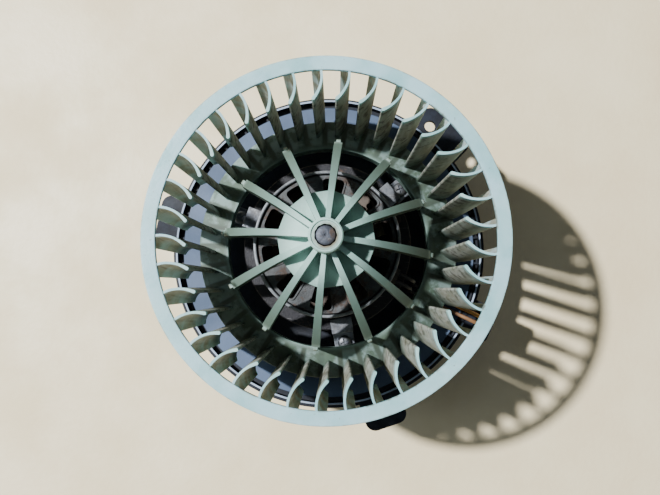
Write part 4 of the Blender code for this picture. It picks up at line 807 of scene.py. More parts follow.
def nibs():
    """Narrower strip at each rib's outer end, from just below its crest down to the collar."""
    bm = bmesh.new()
    inner = RIB_TIP - 3.6 * MM
    outline = [(inner, RIB_TIP_TOP + 1.6 * MM), (RIB_TIP - 0.6 * MM, RIB_TIP_TOP + 0.2 * MM),
               (RIB_TIP, RIB_TIP_TOP - 0.8 * MM), (LIP_RADIUS + COLLAR_WALL * 0.5, LIP_TOP - 2 * MM),
               (LIP_RADIUS - 1.2 * MM, LIP_TOP - 2 * MM), (inner, RIB_TIP_TOP - 8 * MM)]
    slab(bm, outline, -RIB_NIB_HALF, RIB_NIB_HALF)
    for vert in bm.verts:
        vert.co = (vert.co.x, vert.co.z, vert.co.y)
    bmesh.ops.recalc_face_normals(bm, faces=bm.faces)
    bevel_sharp(bm, 0.25 * MM, 2, radians(60))
    repeat_round(bm, RIBS)
    turn(bm, RIB_START)
    return to_object(bm, "nibs")


EJECTOR_MARKS = 6
MARK_CIRCLE = 54.6 * MM


def ejector_marks():
    """Low round witness marks that the mould's ejector pins leave on the back plate."""
    bm = bmesh.new()
    middle = MARK_CIRCLE
    pin(bm, 2.1 * MM, 2.0 * MM, 1.2 * MM, (0, 0, 0), 32)
    lid = max(bm.faces, key=lambda face: face.calc_center_median().z)
    bmesh.ops.inset_region(bm, faces=[lid], thickness=0.25 * MM, depth=-0.12 * MM)
    tilt = (LIP_TOP - BACK_EDGE_TOP) / (BACK_RADIUS - LIP_RADIUS)
    bmesh.ops.translate(bm, verts=bm.verts, vec=(middle, 0, back_top(middle) - 0.42 * MM))
    for vert in bm.verts:
        vert.co.z -= (vert.co.x - middle) * tilt
    repeat_round(bm, EJECTOR_MARKS)
    turn(bm, radians(25))
    return to_object(bm, "ejector_marks")


def disc():
    """Coned twelve-sided disc, its corners rounded, turned so that each corner is on a rib."""
    bm = bmesh.new()
    corner = DISC_RADIUS / cos(pi / RIBS)
    pin(bm, corner, corner, DISC_DEPTH, (0, 0, 0), RIBS)
    uprights = [edge for edge in bm.edges if abs(edge.verts[0].co.z - edge.verts[1].co.z) > 1 * MM]
    bmesh.ops.bevel(bm, geom=uprights, offset=2.2 * MM, segments=4, profile=0.5, affect="EDGES",
                    material=-1)
    lid = max(bm.faces, key=lambda face: face.calc_center_median().z)
    base = min(bm.faces, key=lambda face: face.calc_center_median().z)
    for face in (lid, base):
        poke = bmesh.ops.poke(bm, faces=[face])["verts"]
        bmesh.ops.translate(bm, verts=poke, vec=(0, 0, DISC_RISE))
    bevel_sharp(bm, 0.3 * MM, 2, radians(60))
    bmesh.ops.translate(bm, verts=bm.verts, vec=(0, 0, DISC_EDGE_TOP - DISC_DEPTH / 2))
    turn(bm, RIB_START)
    return to_object(bm, "disc")


BOSS_RADIUS = 6.93 * MM
BORE_RADIUS = 4.4 * MM
BOSS_BOTTOM = 104.0 * MM


def boss():
    """Solid boss; its bore is cut after the ribs and disc are welded on."""
    profile = [(0.0, HUB_TOP - 0.6 * MM), (5.7 * MM, HUB_TOP - 0.6 * MM), (5.9 * MM, HUB_TOP),
               (BOSS_RADIUS - 0.5 * MM, HUB_TOP), (BOSS_RADIUS, HUB_TOP - 0.5 * MM),
               (BOSS_RADIUS, BOSS_BOTTOM + 0.4 * MM), (BOSS_RADIUS - 0.4 * MM, BOSS_BOTTOM),
               (0.0, BOSS_BOTTOM)]
    return lathe("boss", profile, steps=64, closed=False)


def bore_cut():
    """The bore, with the row of small splines that grips the shaft showing at its mouth."""
    bm = bmesh.new()
    splines = 11
    steps = splines * 8
    outline = []
    for index in range(steps):
        angle = 2 * pi * index / steps
        wave = 0.09 * MM * cos(splines * angle)
        outline.append(((BORE_RADIUS + wave) * cos(angle), (BORE_RADIUS + wave) * sin(angle)))
    slab(bm, outline, BOSS_BOTTOM - 5 * MM, HUB_TOP + 5 * MM)
    return to_object(bm, "bore_cut")


wheel = merge_shapes(wheel_ring(), [back_plate(), blades(), boss(), ribs(), nibs(), disc(),
                                    ejector_marks()])
merge_shapes(wheel, [bore_cut()], "DIFFERENCE")
finish_piece(wheel, ROTOR, nylon(), ("wheel_cage", "wheel_hub"), "natural_nylon")

# %% [markdown]
# ## Finishes of the motor and its mounting
#
# The black moulding is dark except on its raised step, where a blue-grey haze of fine dust has
# settled, and along the crest of its thin wall, which carries a painted highlight where light
# catches it. The can is painted and has worn to bare steel along its rim. The end shield has
# begun to rust in blotches. Dust, wear and that highlight could be painted by hand; here each
# point's height and radius place them, because on a turned part they follow its rings.

# %% Plastics, rubber and insulation
HAZE = (0.092, 0.135, 0.215)
# Painted highlight along the crest of the flange's thin wall.
WALL_HIGHLIGHT = (0.42, 0.52, 0.66)


def repaint(material):
    """Open a finished material again: its nodes, its shader, its colour so far, coordinates."""
    tree = material.node_tree
    shader = tree.nodes["Principled BSDF"]
    painted = shader.inputs["Base Color"].links[0].from_socket
    return tree, shader, painted, add_node(tree, "ShaderNodeTexCoord").outputs["Object"]


def moulded_black():
    """Black plastic: blue-grey dust on the raised step only, and a painted highlight along the wall's
    crest.
    """
    material = finish_material("black_plastic", (0.0085, 0.0095, 0.014), (0.004, 0.0045, 0.007),
                               0.52, cloud=35.0, dust=0.10, scratch=0.3, dust_colour=HAZE)
    tree, shader, painted, coordinates = repaint(material)
    radius, height = radius_and_height(tree, coordinates)
    up = remap(tree, upward(tree), 0.75, 0.97)
    step = product(tree, remap(tree, radius, STEP_INNER, STEP_INNER + 1 * MM),
                   remap(tree, radius, STEP_OUTER, STEP_OUTER - 0.4 * MM), up)
    patch = remap(tree, noise(tree, coordinates, 38.0, 3.0, 0.5), 0.35, 0.65, 0.72, 1.0)
    colour = blend_colour(tree, product(tree, step, patch), painted, HAZE)
    # Painted highlight on the wall's crest.
    crest = product(tree, up, remap(tree, height, STEP_TOP + 1.5 * MM, STEP_TOP + 2.0 * MM),
                    remap(tree, radius, STEP_OUTER, WALL_INNER), patch)
    colour = blend_colour(tree, crest, colour, WALL_HIGHLIGHT)
    wire(tree, colour, shader.inputs["Base Color"])
    shader.inputs["Specular IOR Level"].default_value = 0.28


moulded_black()
for name, light, dark, roughness, extras in (
        ("rubber", (0.034, 0.033, 0.033), (0.018, 0.017, 0.017), 0.78,
         {"cloud": 80.0, "grain": 1500.0, "dust": 0.4, "scratch": 0.0}),
        ("brown_phenolic", (0.060, 0.038, 0.028), (0.032, 0.020, 0.015), 0.6,
         {"grain": 1600.0, "dust": 0.3, "scratch": 0.4}),
        ("fibre", (0.35, 0.28, 0.18), (0.22, 0.17, 0.10), 0.7, {"dust": 0.2}),
        ("carbon", (0.040, 0.040, 0.042), (0.022, 0.022, 0.024), 0.5, {"dust": 0.1}),
        ("ferrite", (0.062, 0.062, 0.066), (0.032, 0.032, 0.034), 0.6, {"dust": 0.1})):
    finish_material(name, light, dark, roughness, **extras)
print("finishes so far:", sorted(FINISHES))


# %% Leads, sleeved inside the wheel
SLEEVE_END = 58 * MM
SLEEVE_BLACK = (0.014, 0.014, 0.016)


def lead_insulation(name, light, dark):
    """Coloured insulation that a black sleeve covers inside the wheel, out to the flange's step."""
    material = finish_material(name, light, dark, 0.42, cloud=220.0, dust=0.35, scratch=0.3)
    tree, shader, painted, coordinates = repaint(material)
    radius = radius_and_height(tree, coordinates)[0]
    sleeve = remap(tree, radius, SLEEVE_END, SLEEVE_END - 0.2 * MM)
    wire(tree, blend_colour(tree, sleeve, painted, SLEEVE_BLACK),
         shader.inputs["Base Color"])


lead_insulation("orange_insulation", (0.78, 0.36, 0.05), (0.56, 0.24, 0.03))
lead_insulation("brown_insulation", (0.30, 0.15, 0.06), (0.18, 0.08, 0.03))

# %% Metals
for name, light, dark, roughness, extras in (
        ("zinc_plate", (0.24, 0.27, 0.31), (0.09, 0.10, 0.12), 0.46,
         {"cloud": 180.0, "dust": 0.35, "scratch": 0.5, "gloss_spread": 0.16}),
        ("spring_steel", (0.42, 0.42, 0.43), (0.22, 0.21, 0.20), 0.38,
         {"cloud": 150.0, "dust": 0.25}),
        ("lamination_steel", (0.22, 0.20, 0.19), (0.11, 0.09, 0.08), 0.5, {"dust": 0.2}),
        ("copper", (0.42, 0.20, 0.11), (0.20, 0.09, 0.05), 0.42, {"cloud": 160.0, "dust": 0.3}),
        ("brass", (0.30, 0.25, 0.15), (0.16, 0.12, 0.07), 0.46, {"cloud": 160.0, "dust": 0.4}),
        ("sintered_bronze", (0.46, 0.34, 0.20), (0.28, 0.20, 0.11), 0.55,
         {"grain": 2200.0, "dust": 0.2})):
    finish_material(name, light, dark, roughness, metallic=1.0, **extras)


# %% Rusting steel: rust sits in blotches and roughens the metal
RUST_TONES = ((0.085, 0.055, 0.042), (0.040, 0.028, 0.024))
WORN_EDGE = (0.26, 0.28, 0.30)
SCRATCHED = (0.22, 0.22, 0.22)
METAL_DUST = (0.08, 0.075, 0.065)


def rusting(name, metal_light, metal_dark, rust_share, roughness=0.45, bright_edge=None,
            dust=0.3):
    tree, shader, coordinates = start_material(name)[1:]
    tones = use_group(tree, CLOUD, coordinates, Scale=110.0, Grain=1300.0)
    metal = blend_colour(tree, tones.outputs["Broad"], metal_dark, metal_light)
    spread = noise(tree, coordinates, 150.0, 7.0, 0.7)
    rust = remap(tree, spread, 0.60 - rust_share * 0.3, 0.72 - rust_share * 0.3)
    shade = blend_colour(tree, tones.outputs["Fine"], *RUST_TONES)
    colour = blend_colour(tree, rust, metal, shade)
    if bright_edge:
        height = radius_and_height(tree, coordinates)[1]
        edge = product(tree, remap(tree, height, bright_edge - 1.0 * MM, bright_edge - 0.2 * MM),
                       remap(tree, spread, 0.35, 0.55, 0.45, 1.0))
        colour = blend_colour(tree, edge, colour, WORN_EDGE)
    marks = use_group(tree, SCRATCHES, coordinates, Amount=0.4).outputs["Mask"]
    colour = blend_colour(tree, marks, colour, SCRATCHED)
    film = use_group(tree, DUST, coordinates, Amount=dust).outputs["Mask"]
    colour = blend_colour(tree, film, colour, METAL_DUST)
    wire(tree, colour, shader.inputs["Base Color"])
    wire(tree, remap(tree, rust, 0.0, 1.0, 0.45, 0.05), shader.inputs["Metallic"])
    wire(tree, remap(tree, rust, 0.0, 1.0, roughness, 0.9), shader.inputs["Roughness"])
    bump_into(tree, shader, maths(tree, "ADD", rust, tones.outputs["Fine"]), 0.05 * MM)


rusting("drawn_steel", (0.016, 0.016, 0.021), (0.007, 0.007, 0.010), 0.08, 0.55, CAN_TOP, 0.12)
rusting("shield_steel", (0.105, 0.115, 0.120), (0.045, 0.050, 0.054), 0.38, 0.65)
rusting("shaft_steel", (0.080, 0.095, 0.125), (0.035, 0.040, 0.055), 0.30, 0.55)
SLOT_OF = {row["node"]: row["material_slot"] for row in frame["record"]["subparts"]}
for node, solid in frame["nodes"].items():
    solid.data.materials.clear()
    solid.data.materials.append(FINISHES[SLOT_OF[node]])
print(len(FINISHES), "finishes on", len(SLOT_OF), "nodes")

# %% [markdown]
# ## Two general ways to refine a plain solid
#
# Washers, bearings and bushes are turned again with more steps and rounded edges: their outer
# radius and heights come from the solid's box. Clips, holders and other sheet or block pieces
# keep their planes and only need their edges broken, so those start from the solid's own mesh.

# %% Fine rings and softened blocks
NODE_BODY = {node: body for body, nodes in frame["record"]["behaviour"]["bodies"].items()
             for node in nodes}


def finish_as(node, obj, **settings):
    """Finish an object that stands for one solid, with that solid's body and material slot."""
    slot = SLOT_OF[node]
    finish_piece(obj, NODE_BODY[node], FINISHES[slot], (node,), slot, **settings)


def fine_ring(node, inner, edge=0.2 * MM):
    """Turn a plain ring again, finer and with rounded edges."""
    low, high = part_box(node)
    outer = (high[0] - low[0]) / 2
    profile = [(inner, high[2]), (outer, high[2]), (outer, low[2]), (inner, low[2])]
    obj = lathe("fine_" + node, rounded(profile, edge), 72)
    finish_as(node, obj)


def solid_copy(node, flat_within):
    """The solid's own mesh, each flat face made whole again."""
    bm = bmesh.new()
    bm.from_mesh(frame["nodes"][node].data)
    bmesh.ops.remove_doubles(bm, verts=bm.verts, dist=0.001 * MM)
    bmesh.ops.dissolve_limit(bm, angle_limit=flat_within, verts=bm.verts, edges=bm.edges)
    return bm


def soften(node, width, angle=radians(50)):
    """Break the sharp edges of a sheet or block piece."""
    bm = solid_copy(node, radians(1))
    bevel_sharp(bm, width, 3, angle)
    finish_as(node, to_object(bm, "fine_" + node))


BORE = SHAFT_RADIUS + 0.3 * MM
for node in ("thrust_washer_front", "thrust_washer_rear", "hub_spring_clip",
             "bearing_retainer_front"):
    fine_ring(node, BORE)
for node in ("bearing_front", "bearing_rear"):
    fine_ring(node, BORE, 1.2 * MM)
fine_ring("bearing_retainer_rear", half_width_of("bearing_rear") + 0.3 * MM)
fine_ring("rear_damper", 9.0 * MM, 0.6 * MM)
for node in ("winding_front", "winding_rear"):
    fine_ring(node, BORE, 1.8 * MM)
for node in ("brush_holder_a", "brush_holder_b", "brush_a", "brush_b", "suppression_capacitor",
             "terminal_a", "terminal_b"):
    soften(node, 0.3 * MM)
for number in (1, 2, 3):
    soften("motor_clip_" + str(number), 0.4 * MM, radians(40))
soften("connector_housing", 0.4 * MM)

# %% [markdown]
# ## Shaft
#
# The shaft's end is slightly domed and has the small centre hole that it was turned on. A plain
# cylinder would need both worked into its end afterwards, so the shaft is one profile spun about Z.

# %% Shaft
def shaft():
    low = bottom_of("motor_shaft")
    hollow = 0.7 * MM
    profile = [(0.0, SHAFT_TOP - hollow), (0.5 * MM, SHAFT_TOP - 0.15 * MM),
               (1.2 * MM, SHAFT_TOP), (SHAFT_RADIUS - 0.9 * MM, SHAFT_TOP - 0.25 * MM),
               (SHAFT_RADIUS - 0.25 * MM, SHAFT_TOP - 0.6 * MM),
               (SHAFT_RADIUS, SHAFT_TOP - 1.1 * MM), (SHAFT_RADIUS, low + 0.5 * MM),
               (SHAFT_RADIUS - 0.5 * MM, low), (0.0, low)]
    return lathe("fine_shaft", profile, 64, closed=False)


finish_as("motor_shaft", shaft())

# %% [markdown]
# ## Commutator
#
# Copper bars, parted by narrow grooves, with a wider riser at the lower end where the coil wires
# are hooked on. Bars made one by one would need their gaps worked out. Cutting the grooves from one
# turned body keeps the bars' faces on one circle.

# %% Commutator
def commutator():
    low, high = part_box("commutator")
    riser = half_width_of("commutator")
    outer = riser - 1.3 * MM
    profile = [(BORE, high[2]), (outer, high[2]), (outer, low[2] + 1.5 * MM),
               (riser, low[2] + 1.5 * MM), (riser, low[2]), (BORE, low[2])]
    body = lathe("fine_commutator", rounded(profile, 0.15 * MM), 96)
    bm = bmesh.new()
    bars = 24
    grooves = [(outer - 0.8 * MM, -0.3 * MM), (riser + 1 * MM, -0.3 * MM),
               (riser + 1 * MM, 0.3 * MM), (outer - 0.8 * MM, 0.3 * MM)]
    slab(bm, grooves, low[2] - 1 * MM, high[2] + 1 * MM)
    repeat_round(bm, bars)
    return merge_shapes(body, [to_object(bm, "grooves")], "DIFFERENCE")


finish_as("commutator", commutator())

# %% [markdown]
# ## Motor can
#
# A deep-drawn can: the corner at its floor is generous, its rim is rolled, and the collar that
# rests on the cup is a pressed flange with a rounded edge. One round hole lets the leads out. All
# but the hole is round about the axis, so the sheet's inner and outer faces are one profile.

# %% Motor can
CAN_WALL = 1.5 * MM
LEAD_ANGLE = radians(-25)


def side_cylinder(name, radius, near, far, angle, z):
    """Cylinder that lies along a radius, for round holes in a round wall."""
    bm = bmesh.new()
    pin(bm, radius, radius, far - near, (0, 0, 0), 48)
    bmesh.ops.rotate(bm, verts=bm.verts, cent=(0, 0, 0), matrix=Matrix.Rotation(pi / 2, 3, "Y"))
    bmesh.ops.translate(bm, verts=bm.verts, vec=((near + far) / 2, 0, z))
    turn(bm, angle)
    return to_object(bm, name)


def can():
    low = bottom_of("motor_can")
    inner = CAN_RADIUS - CAN_WALL
    collar_z = CUP_TOP + 0.3 * MM
    profile = [(0.0, low + CAN_WALL), (inner - 3 * MM, low + CAN_WALL),
               (inner - 0.9 * MM, low + CAN_WALL + 0.9 * MM), (inner, low + CAN_WALL + 3 * MM),
               (inner, CAN_TOP - 0.6 * MM), (inner + 0.35 * MM, CAN_TOP - 0.1 * MM),
               (inner + 0.75 * MM, CAN_TOP), (CAN_RADIUS - 0.2 * MM, CAN_TOP - 0.25 * MM),
               (CAN_RADIUS, CAN_TOP - 0.7 * MM), (CAN_RADIUS, collar_z + 2.3 * MM),
               (CAN_RADIUS + 0.3 * MM, collar_z + 1.7 * MM),
               (CAN_RADIUS + 0.9 * MM, collar_z + 1.5 * MM),
               (CUP_RADIUS - 0.4 * MM, collar_z + 1.5 * MM), (CUP_RADIUS, collar_z + 1.1 * MM),
               (CUP_RADIUS, collar_z + 0.4 * MM), (CUP_RADIUS - 0.4 * MM, collar_z),
               (CAN_RADIUS, collar_z), (CAN_RADIUS, low + 3 * MM),
               (CAN_RADIUS - 0.9 * MM, low + 0.9 * MM), (CAN_RADIUS - 3 * MM, low), (0.0, low)]
    body = lathe("fine_can", profile, 144, closed=False)
    low_g, high_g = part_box("lead_grommet")
    z = (low_g[2] + high_g[2]) / 2
    hole = side_cylinder("lead_hole", (high_g[2] - low_g[2]) / 2 + 0.3 * MM, inner - 2 * MM,
                         CAN_RADIUS + 2 * MM, LEAD_ANGLE, z)
    return merge_shapes(body, [hole], "DIFFERENCE")


finish_as("motor_can", can())

# %% [markdown]
# ## End shield
#
# Ten windows ventilate the motor. Their corners are round, and each has a turned-up lip, which
# stiffens the sheet and catches the light. Slabs of a window's shape, a little larger, are welded
# on first. The windows are then cut through both, so that a lip always follows its window.

# %% End shield
WINDOWS = 10
WINDOW_START = radians(12)
WINDOW_INNER = 16.0 * MM
WINDOW_OUTER = 29.5 * MM
WINDOW_ARC = radians(20)
SHIELD_DEPTH = 1.5 * MM
WINDOW_LIP = 0.7 * MM
WINDOW_CORNER = 2.0 * MM


def window_outline(grow):
    """A window between two radii with rounded corners, centred on angle 0."""
    inner = WINDOW_INNER - grow
    outer = WINDOW_OUTER + grow
    corner = WINDOW_CORNER + grow * 0.6
    pieces = 5
    points = []
    for radius, pull, sides in ((outer, -corner, (1, -1)), (inner, corner, (-1, 1))):
        for side in sides:
            half = side * (WINDOW_ARC / 2 + grow / radius)
            tip = polar(radius, half)
            along_arc = polar(radius, half - side * corner / radius)
            along_side = polar(radius + pull, half)
            ends = (along_side, along_arc) if (side > 0) == (radius == outer) else (along_arc,
                                                                                  along_side)
            for piece in range(pieces + 1):
                t = piece / pieces
                point = ends[0] * (1 - t) ** 2 + tip * 2 * t * (1 - t) + ends[1] * t ** 2
                points.append((point.x, point.y))
        steps = 4
        start = sides[0]
        middle = [polar(radius, (WINDOW_ARC / 2 - corner / radius) * start * (1 - 2 * k / steps))
                  for k in range(1, steps)]
        here = len(points) - (pieces + 1)
        points[here:here] = [(point.x, point.y) for point in middle]
    return points


def windows(name, grow, bottom, top):
    bm = bmesh.new()
    slab(bm, window_outline(grow), bottom, top)
    repeat_round(bm, WINDOWS)
    turn(bm, WINDOW_START)
    return to_object(bm, name)


def shield():
    plate_low = bottom_of("end_shield")
    plate_top = plate_low + SHIELD_DEPTH
    outer = half_width_of("end_shield")
    cup = half_width_of("bearing_front") + 1.7 * MM
    cup_inner = cup - 1.4 * MM
    profile = [(BORE, SHIELD_CUP_TOP), (cup - 1.2 * MM, SHIELD_CUP_TOP),
               (cup - 0.35 * MM, SHIELD_CUP_TOP - 0.35 * MM), (cup, SHIELD_CUP_TOP - 1.2 * MM),
               (cup, plate_top + 1.0 * MM), (cup + 0.3 * MM, plate_top + 0.3 * MM),
               (cup + 1.0 * MM, plate_top), (outer - 0.3 * MM, plate_top),
               (outer, plate_top - 0.3 * MM), (outer, plate_low), (cup_inner, plate_low),
               (cup_inner, SHIELD_CUP_TOP - 1.4 * MM), (BORE, SHIELD_CUP_TOP - 1.4 * MM)]
    body = lathe("fine_shield", profile, 144)
    merge_shapes(body, [windows("lips", WINDOW_LIP, plate_low + 0.4 * MM, plate_top + 0.6 * MM)])
    return merge_shapes(body, [windows("cuts", 0.0, plate_low - 2 * MM, plate_top + 3 * MM)],
                        "DIFFERENCE")


finish_as("end_shield", shield(), sharp=radians(45))

# %% [markdown]
# ## Brush plate and what stands on it
#
# A disc of brown laminate with a row of rivet holes. The chokes are real coils here: a wire wound
# round each ferrite rod. Stripes on a cylinder would be quicker but look flat at its outline, and a
# curve with a round bevel lets the turns be counted.

# %% Brush plate
RIVET_CIRCLE = 28 * MM
RIVETS = 8


def brush_plate():
    low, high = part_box("brush_plate")
    outer = half_width_of("brush_plate")
    inner = half_width_of("commutator") - 1.3 * MM + 1.9 * MM
    profile = [(inner, high[2]), (outer, high[2]), (outer, low[2]), (inner, low[2])]
    body = lathe("fine_brush_plate", rounded(profile, 0.15 * MM), 128)
    bm = bmesh.new()
    pin(bm, 1.5 * MM, 1.5 * MM, 6 * MM, (RIVET_CIRCLE, 0, (low[2] + high[2]) / 2), 24)
    repeat_round(bm, RIVETS)
    return merge_shapes(body, [to_object(bm, "rivet_holes")], "DIFFERENCE")


finish_as("brush_plate", brush_plate())


# %% Wires as tubes
def tube(name, points, radius, sides=4):
    curve = bpy.data.curves.new(name, "CURVE")
    curve.dimensions = "3D"
    curve.bevel_depth = radius
    curve.bevel_resolution = sides
    curve.use_fill_caps = True
    spline = curve.splines.new("POLY")
    spline.points.add(len(points) - 1)
    for item, point in zip(spline.points, points):
        item.co = (*point, 1.0)
    source = bpy.data.objects.new(name + "_path", curve)
    bpy.context.scene.collection.objects.link(source)
    mesh = bpy.data.meshes.new_from_object(source.evaluated_get(
        bpy.context.evaluated_depsgraph_get()))
    bpy.data.objects.remove(source, do_unlink=True)
    bm = bmesh.new()
    bm.from_mesh(mesh)
    bpy.data.meshes.remove(mesh)
    return to_object(bm, name)


def choke_wire(suffix, angle):
    """Close turns of wire round the ferrite rod, which lies across a radius."""
    middle = middle_of("choke_coil_" + suffix)
    wire_radius = 0.55 * MM
    coil = 2.6 * MM - wire_radius
    turns, per_turn, length = 8, 16, 10 * MM - 2 * wire_radius
    across = polar(1.0, angle + pi / 2)
    outward = polar(1.0, angle)
    points = []
    for index in range(turns * per_turn + 1):
        phase = 2 * pi * index / per_turn
        along = length * (index / (turns * per_turn) - 0.5)
        points.append(middle + across * along + outward * coil * cos(phase)
                      + Vector((0, 0, coil * sin(phase))))
    obj = tube("fine_choke_" + suffix, points, wire_radius, 2)
    finish_as("choke_coil_" + suffix, obj, weighted=False)


choke_wire("a", radians(62))
choke_wire("b", radians(-38))

# %% [markdown]
# ## Clip screws
#
# Pan heads with a cross recess, dulled zinc. The head and shank are one profile. Two crossed slabs
# cut the recess, so that light and shade show it from any side.

# %% Clip screws
def screw(number):
    low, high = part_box("clip_screw_" + str(number))
    middle = middle_of("clip_screw_" + str(number))
    head, shank = (high[0] - low[0]) / 2, 1.8 * MM
    seat = high[2] - 2.2 * MM
    profile = [(0.0, high[2]), (head * 0.45, high[2] - 0.1 * MM), (head * 0.8, high[2] - 0.6 * MM),
               (head * 0.97, high[2] - 1.3 * MM), (head, seat + 0.2 * MM),
               (head - 0.2 * MM, seat), (shank, seat), (shank, low[2] + 0.8 * MM),
               (0.4 * MM, low[2]), (0.0, low[2])]
    body = lathe("fine_screw_" + str(number), profile, 48, closed=False)
    cross = []
    for angle in (0.35, 0.35 + pi / 2):
        bm = bmesh.new()
        slab(bm, [(-1.9 * MM, -0.35 * MM), (1.9 * MM, -0.35 * MM), (1.9 * MM, 0.35 * MM),
                  (-1.9 * MM, 0.35 * MM)], high[2] - 1.2 * MM, high[2] + 1 * MM)
        turn(bm, angle)
        cross.append(to_object(bm, "recess"))
    merge_shapes(body, cross, "DIFFERENCE")
    body.data.transform(Matrix.Translation((middle.x, middle.y, 0.0)))
    finish_as("clip_screw_" + str(number), body)


for number in (1, 2, 3):
    screw(number)

# %% [markdown]
# ## Motor cup
#
# The cup that holds the motor is turned with a generous corner and stiffened outside by upright
# ribs below the shoulder that the flange sits on. Spinning makes only what goes all the way round,
# so one rib is pulled up as a slab, tapered at its foot, copied round and welded on.

# %% Motor cup
CUP_RIBS = 12


def motor_cup():
    wall, floor = 2.2 * MM, 2.5 * MM
    inner = CUP_RADIUS - wall
    shoulder = half_width_of("motor_cup")
    flange_low = bottom_of("mounting_flange") - 0.3 * MM
    profile = [(0.0, floor), (inner - 2 * MM, floor), (inner - 0.6 * MM, floor + 0.6 * MM),
               (inner, floor + 2 * MM), (inner, CUP_TOP - 0.5 * MM), (inner + 0.5 * MM, CUP_TOP),
               (CUP_RADIUS - 0.5 * MM, CUP_TOP), (CUP_RADIUS, CUP_TOP - 0.5 * MM),
               (CUP_RADIUS, flange_low), (shoulder - 0.3 * MM, flange_low),
               (shoulder, flange_low - 0.3 * MM), (shoulder, flange_low - 2 * MM),
               (CUP_RADIUS, flange_low - 4.5 * MM), (CUP_RADIUS, 1.5 * MM),
               (CUP_RADIUS - 0.45 * MM, 0.45 * MM), (CUP_RADIUS - 1.5 * MM, 0.0), (0.0, 0.0)]
    body = lathe("fine_cup", profile, 144, closed=False)
    bm = bmesh.new()
    slab(bm, [(CUP_RADIUS - 1 * MM, -0.8 * MM), (shoulder - 0.6 * MM, -0.7 * MM),
              (shoulder - 0.6 * MM, 0.7 * MM), (CUP_RADIUS - 1 * MM, 0.8 * MM)],
         2 * MM, flange_low - 1 * MM)
    for vert in bm.verts:
        if vert.co.x > CUP_RADIUS and vert.co.z < 10 * MM:
            vert.co.x = CUP_RADIUS + 0.4 * MM
    bevel_sharp(bm, 0.25 * MM, 2, radians(50))
    repeat_round(bm, CUP_RIBS)
    return merge_shapes(body, [to_object(bm, "cup_ribs")])


finish_as("motor_cup", motor_cup())

# %% [markdown]
# ## Mounting flange
#
# One moulding again: a turned disc with its raised step and thin upright wall, three ears, the
# tab that carries the connector, and the posts that the clips are screwed to. Small gussets
# between the step and the wall stiffen it. Each of them is a closed shape that reaches a little
# into the disc, because a union needs that to weld them into one skin. Holes are cut last.

# %% Mounting flange
POST_CIRCLE = 46.0 * MM
EARS = ((radians(46), 12.1 * MM, 15.0 * MM, 7.0 * MM),
        (radians(-71), 14.1 * MM, 10.5 * MM, 0.0),
        (radians(168.5), 9.6 * MM, 12.0 * MM, 0.0))
EAR_HOLE = 2.75 * MM
EAR_HOLE_INSET = 8.5 * MM
GUSSETS = 36
CLIP_ANGLES = (radians(40), radians(160), radians(-80))


def ear_outline(length, half, corner):
    pieces = 8
    points = [(0.0, -half)]
    for centre, start in ((-half + corner, -pi / 2), (half - corner, 0.0)):
        for index in range(pieces + 1):
            bend = start + pi / 2 * index / pieces
            points.append((length - corner + corner * cos(bend), centre + corner * sin(bend)))
    points.append((0.0, half))
    return points


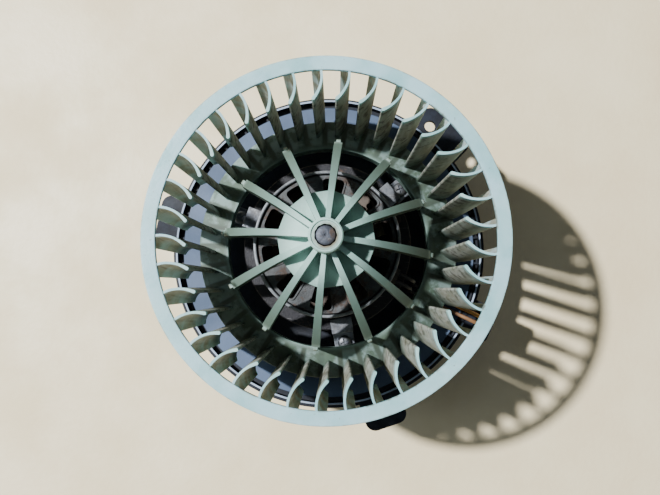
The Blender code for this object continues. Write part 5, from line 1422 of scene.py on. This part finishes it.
def flange():
    low = bottom_of("mounting_flange")
    top = low + FLANGE_DEPTH
    step = STEP_TOP
    wall = top + 5.0 * MM
    bore = CUP_RADIUS + 0.3 * MM
    under_in, under_out = STEP_INNER + FLANGE_DEPTH, STEP_OUTER - FLANGE_DEPTH
    profile = [(bore, top), (STEP_INNER, top), (STEP_INNER, step), (STEP_OUTER, step),
               (STEP_OUTER, top), (WALL_INNER, top), (WALL_INNER, wall), (WALL_OUTER, wall),
               (WALL_OUTER, top), (FLANGE_EDGE, top), (FLANGE_EDGE, low), (under_out, low),
               (under_out, step - FLANGE_DEPTH), (under_in, step - FLANGE_DEPTH),
               (under_in, low), (bore, low)]
    body = lathe("fine_flange", rounded(profile, 0.3 * MM, 2), 180)
    start = STEP_OUTER + FLANGE_DEPTH / 2
    added = []
    plates = [(*ear[:3], 5.0 * MM) for ear in EARS]
    plug_radius = middle_of("connector_housing").xy.length
    tab_reach = plug_radius + 6.7 * MM - FLANGE_EDGE
    plates.append((LEAD_ANGLE, tab_reach, 9.0 * MM, 2.5 * MM))
    for angle, reach, half, corner in plates:
        bm = bmesh.new()
        slab(bm, ear_outline(FLANGE_EDGE + reach - start, half, corner), low + 0.01 * MM,
             top - 0.01 * MM)
        bmesh.ops.translate(bm, verts=bm.verts, vec=(start, 0, 0))
        bevel_sharp(bm, 0.3 * MM, 2, radians(60))
        turn(bm, angle)
        added.append(to_object(bm, "ear"))
    for angle in CLIP_ANGLES:
        bm = bmesh.new()
        pin(bm, 4.2 * MM, 4.05 * MM, 8.5 * MM, (POST_CIRCLE, 0, top + 3.75 * MM))
        bevel_sharp(bm, 0.3 * MM, 2, radians(60))
        turn(bm, angle)
        added.append(to_object(bm, "post"))
    bm = bmesh.new()
    slab(bm, [(STEP_OUTER - 0.5 * MM, -0.5 * MM), (WALL_INNER + 0.4 * MM, -0.5 * MM),
              (WALL_INNER + 0.4 * MM, 0.5 * MM), (STEP_OUTER - 0.5 * MM, 0.5 * MM)],
         top - 0.5 * MM, step - 0.4 * MM)
    repeat_round(bm, GUSSETS)
    turn(bm, radians(5))
    added.append(to_object(bm, "gussets"))
    merge_shapes(body, added)
    cuts = []
    for angle, reach, half, shift in EARS:
        bm = bmesh.new()
        pin(bm, EAR_HOLE, EAR_HOLE, 4 * FLANGE_DEPTH,
            (FLANGE_EDGE + reach - EAR_HOLE_INSET, shift, low + FLANGE_DEPTH / 2))
        turn(bm, angle)
        cuts.append(to_object(bm, "ear_hole"))
    for angle in CLIP_ANGLES:
        bm = bmesh.new()
        pin(bm, 2.1 * MM, 2.1 * MM, 10 * MM, (POST_CIRCLE, 0, top + 6.0 * MM), 32)
        turn(bm, angle)
        cuts.append(to_object(bm, "post_hole"))
    for near, far, half, bottom, upper in (
            (plug_radius - 2.6 * MM, plug_radius + 2.6 * MM, 4.4 * MM, low - 2 * MM,
             top + 2 * MM),
            (WALL_INNER - 2 * MM, WALL_OUTER + 2 * MM, 4.4 * MM, top + 1 * MM, wall + 2 * MM)):
        bm = bmesh.new()
        slab(bm, [(near, -half), (far, -half), (far, half), (near, half)], bottom, upper)
        turn(bm, LEAD_ANGLE)
        cuts.append(to_object(bm, "lead_cut"))
    return merge_shapes(body, cuts, "DIFFERENCE")


finish_as("mounting_flange", flange())

# %% [markdown]
# ## Leads
#
# The two leads are held all the way along, so they don't hang or sag. They could be drawn again as
# curves, but the solids' route already clears its neighbours, so it is kept and only rounded.

# %% Leads
def round_lead(node):
    """Round a lead by subdividing its plain solid."""
    obj = to_object(solid_copy(node, radians(0.5)), "fine_" + node)
    smooth = obj.modifiers.new("round", "SUBSURF")
    smooth.levels = 2
    smooth.render_levels = 2
    finish_as(node, obj, weighted=False)


round_lead("lead_positive")
round_lead("lead_negative")

# %% [markdown]
# ## Floor
#
# A plain pale board, so that the shadow of the wheel reads clearly. It is scenery, a hair below
# the cup's base.

# %% Floor
def floor():
    bm = bmesh.new()
    bmesh.ops.create_grid(bm, x_segments=2, y_segments=2, size=1.5)
    bmesh.ops.translate(bm, verts=bm.verts, vec=(0, 0, -0.2 * MM))
    obj = to_object(bm, "floor")
    obj.data.materials.append(finish_material("pale_board", (0.95, 0.82, 0.54),
                                              (0.85, 0.71, 0.44), 0.6, cloud=14.0, grain=300.0,
                                              dust=0.0, scratch=0.1, bump=0.05 * MM))


floor()
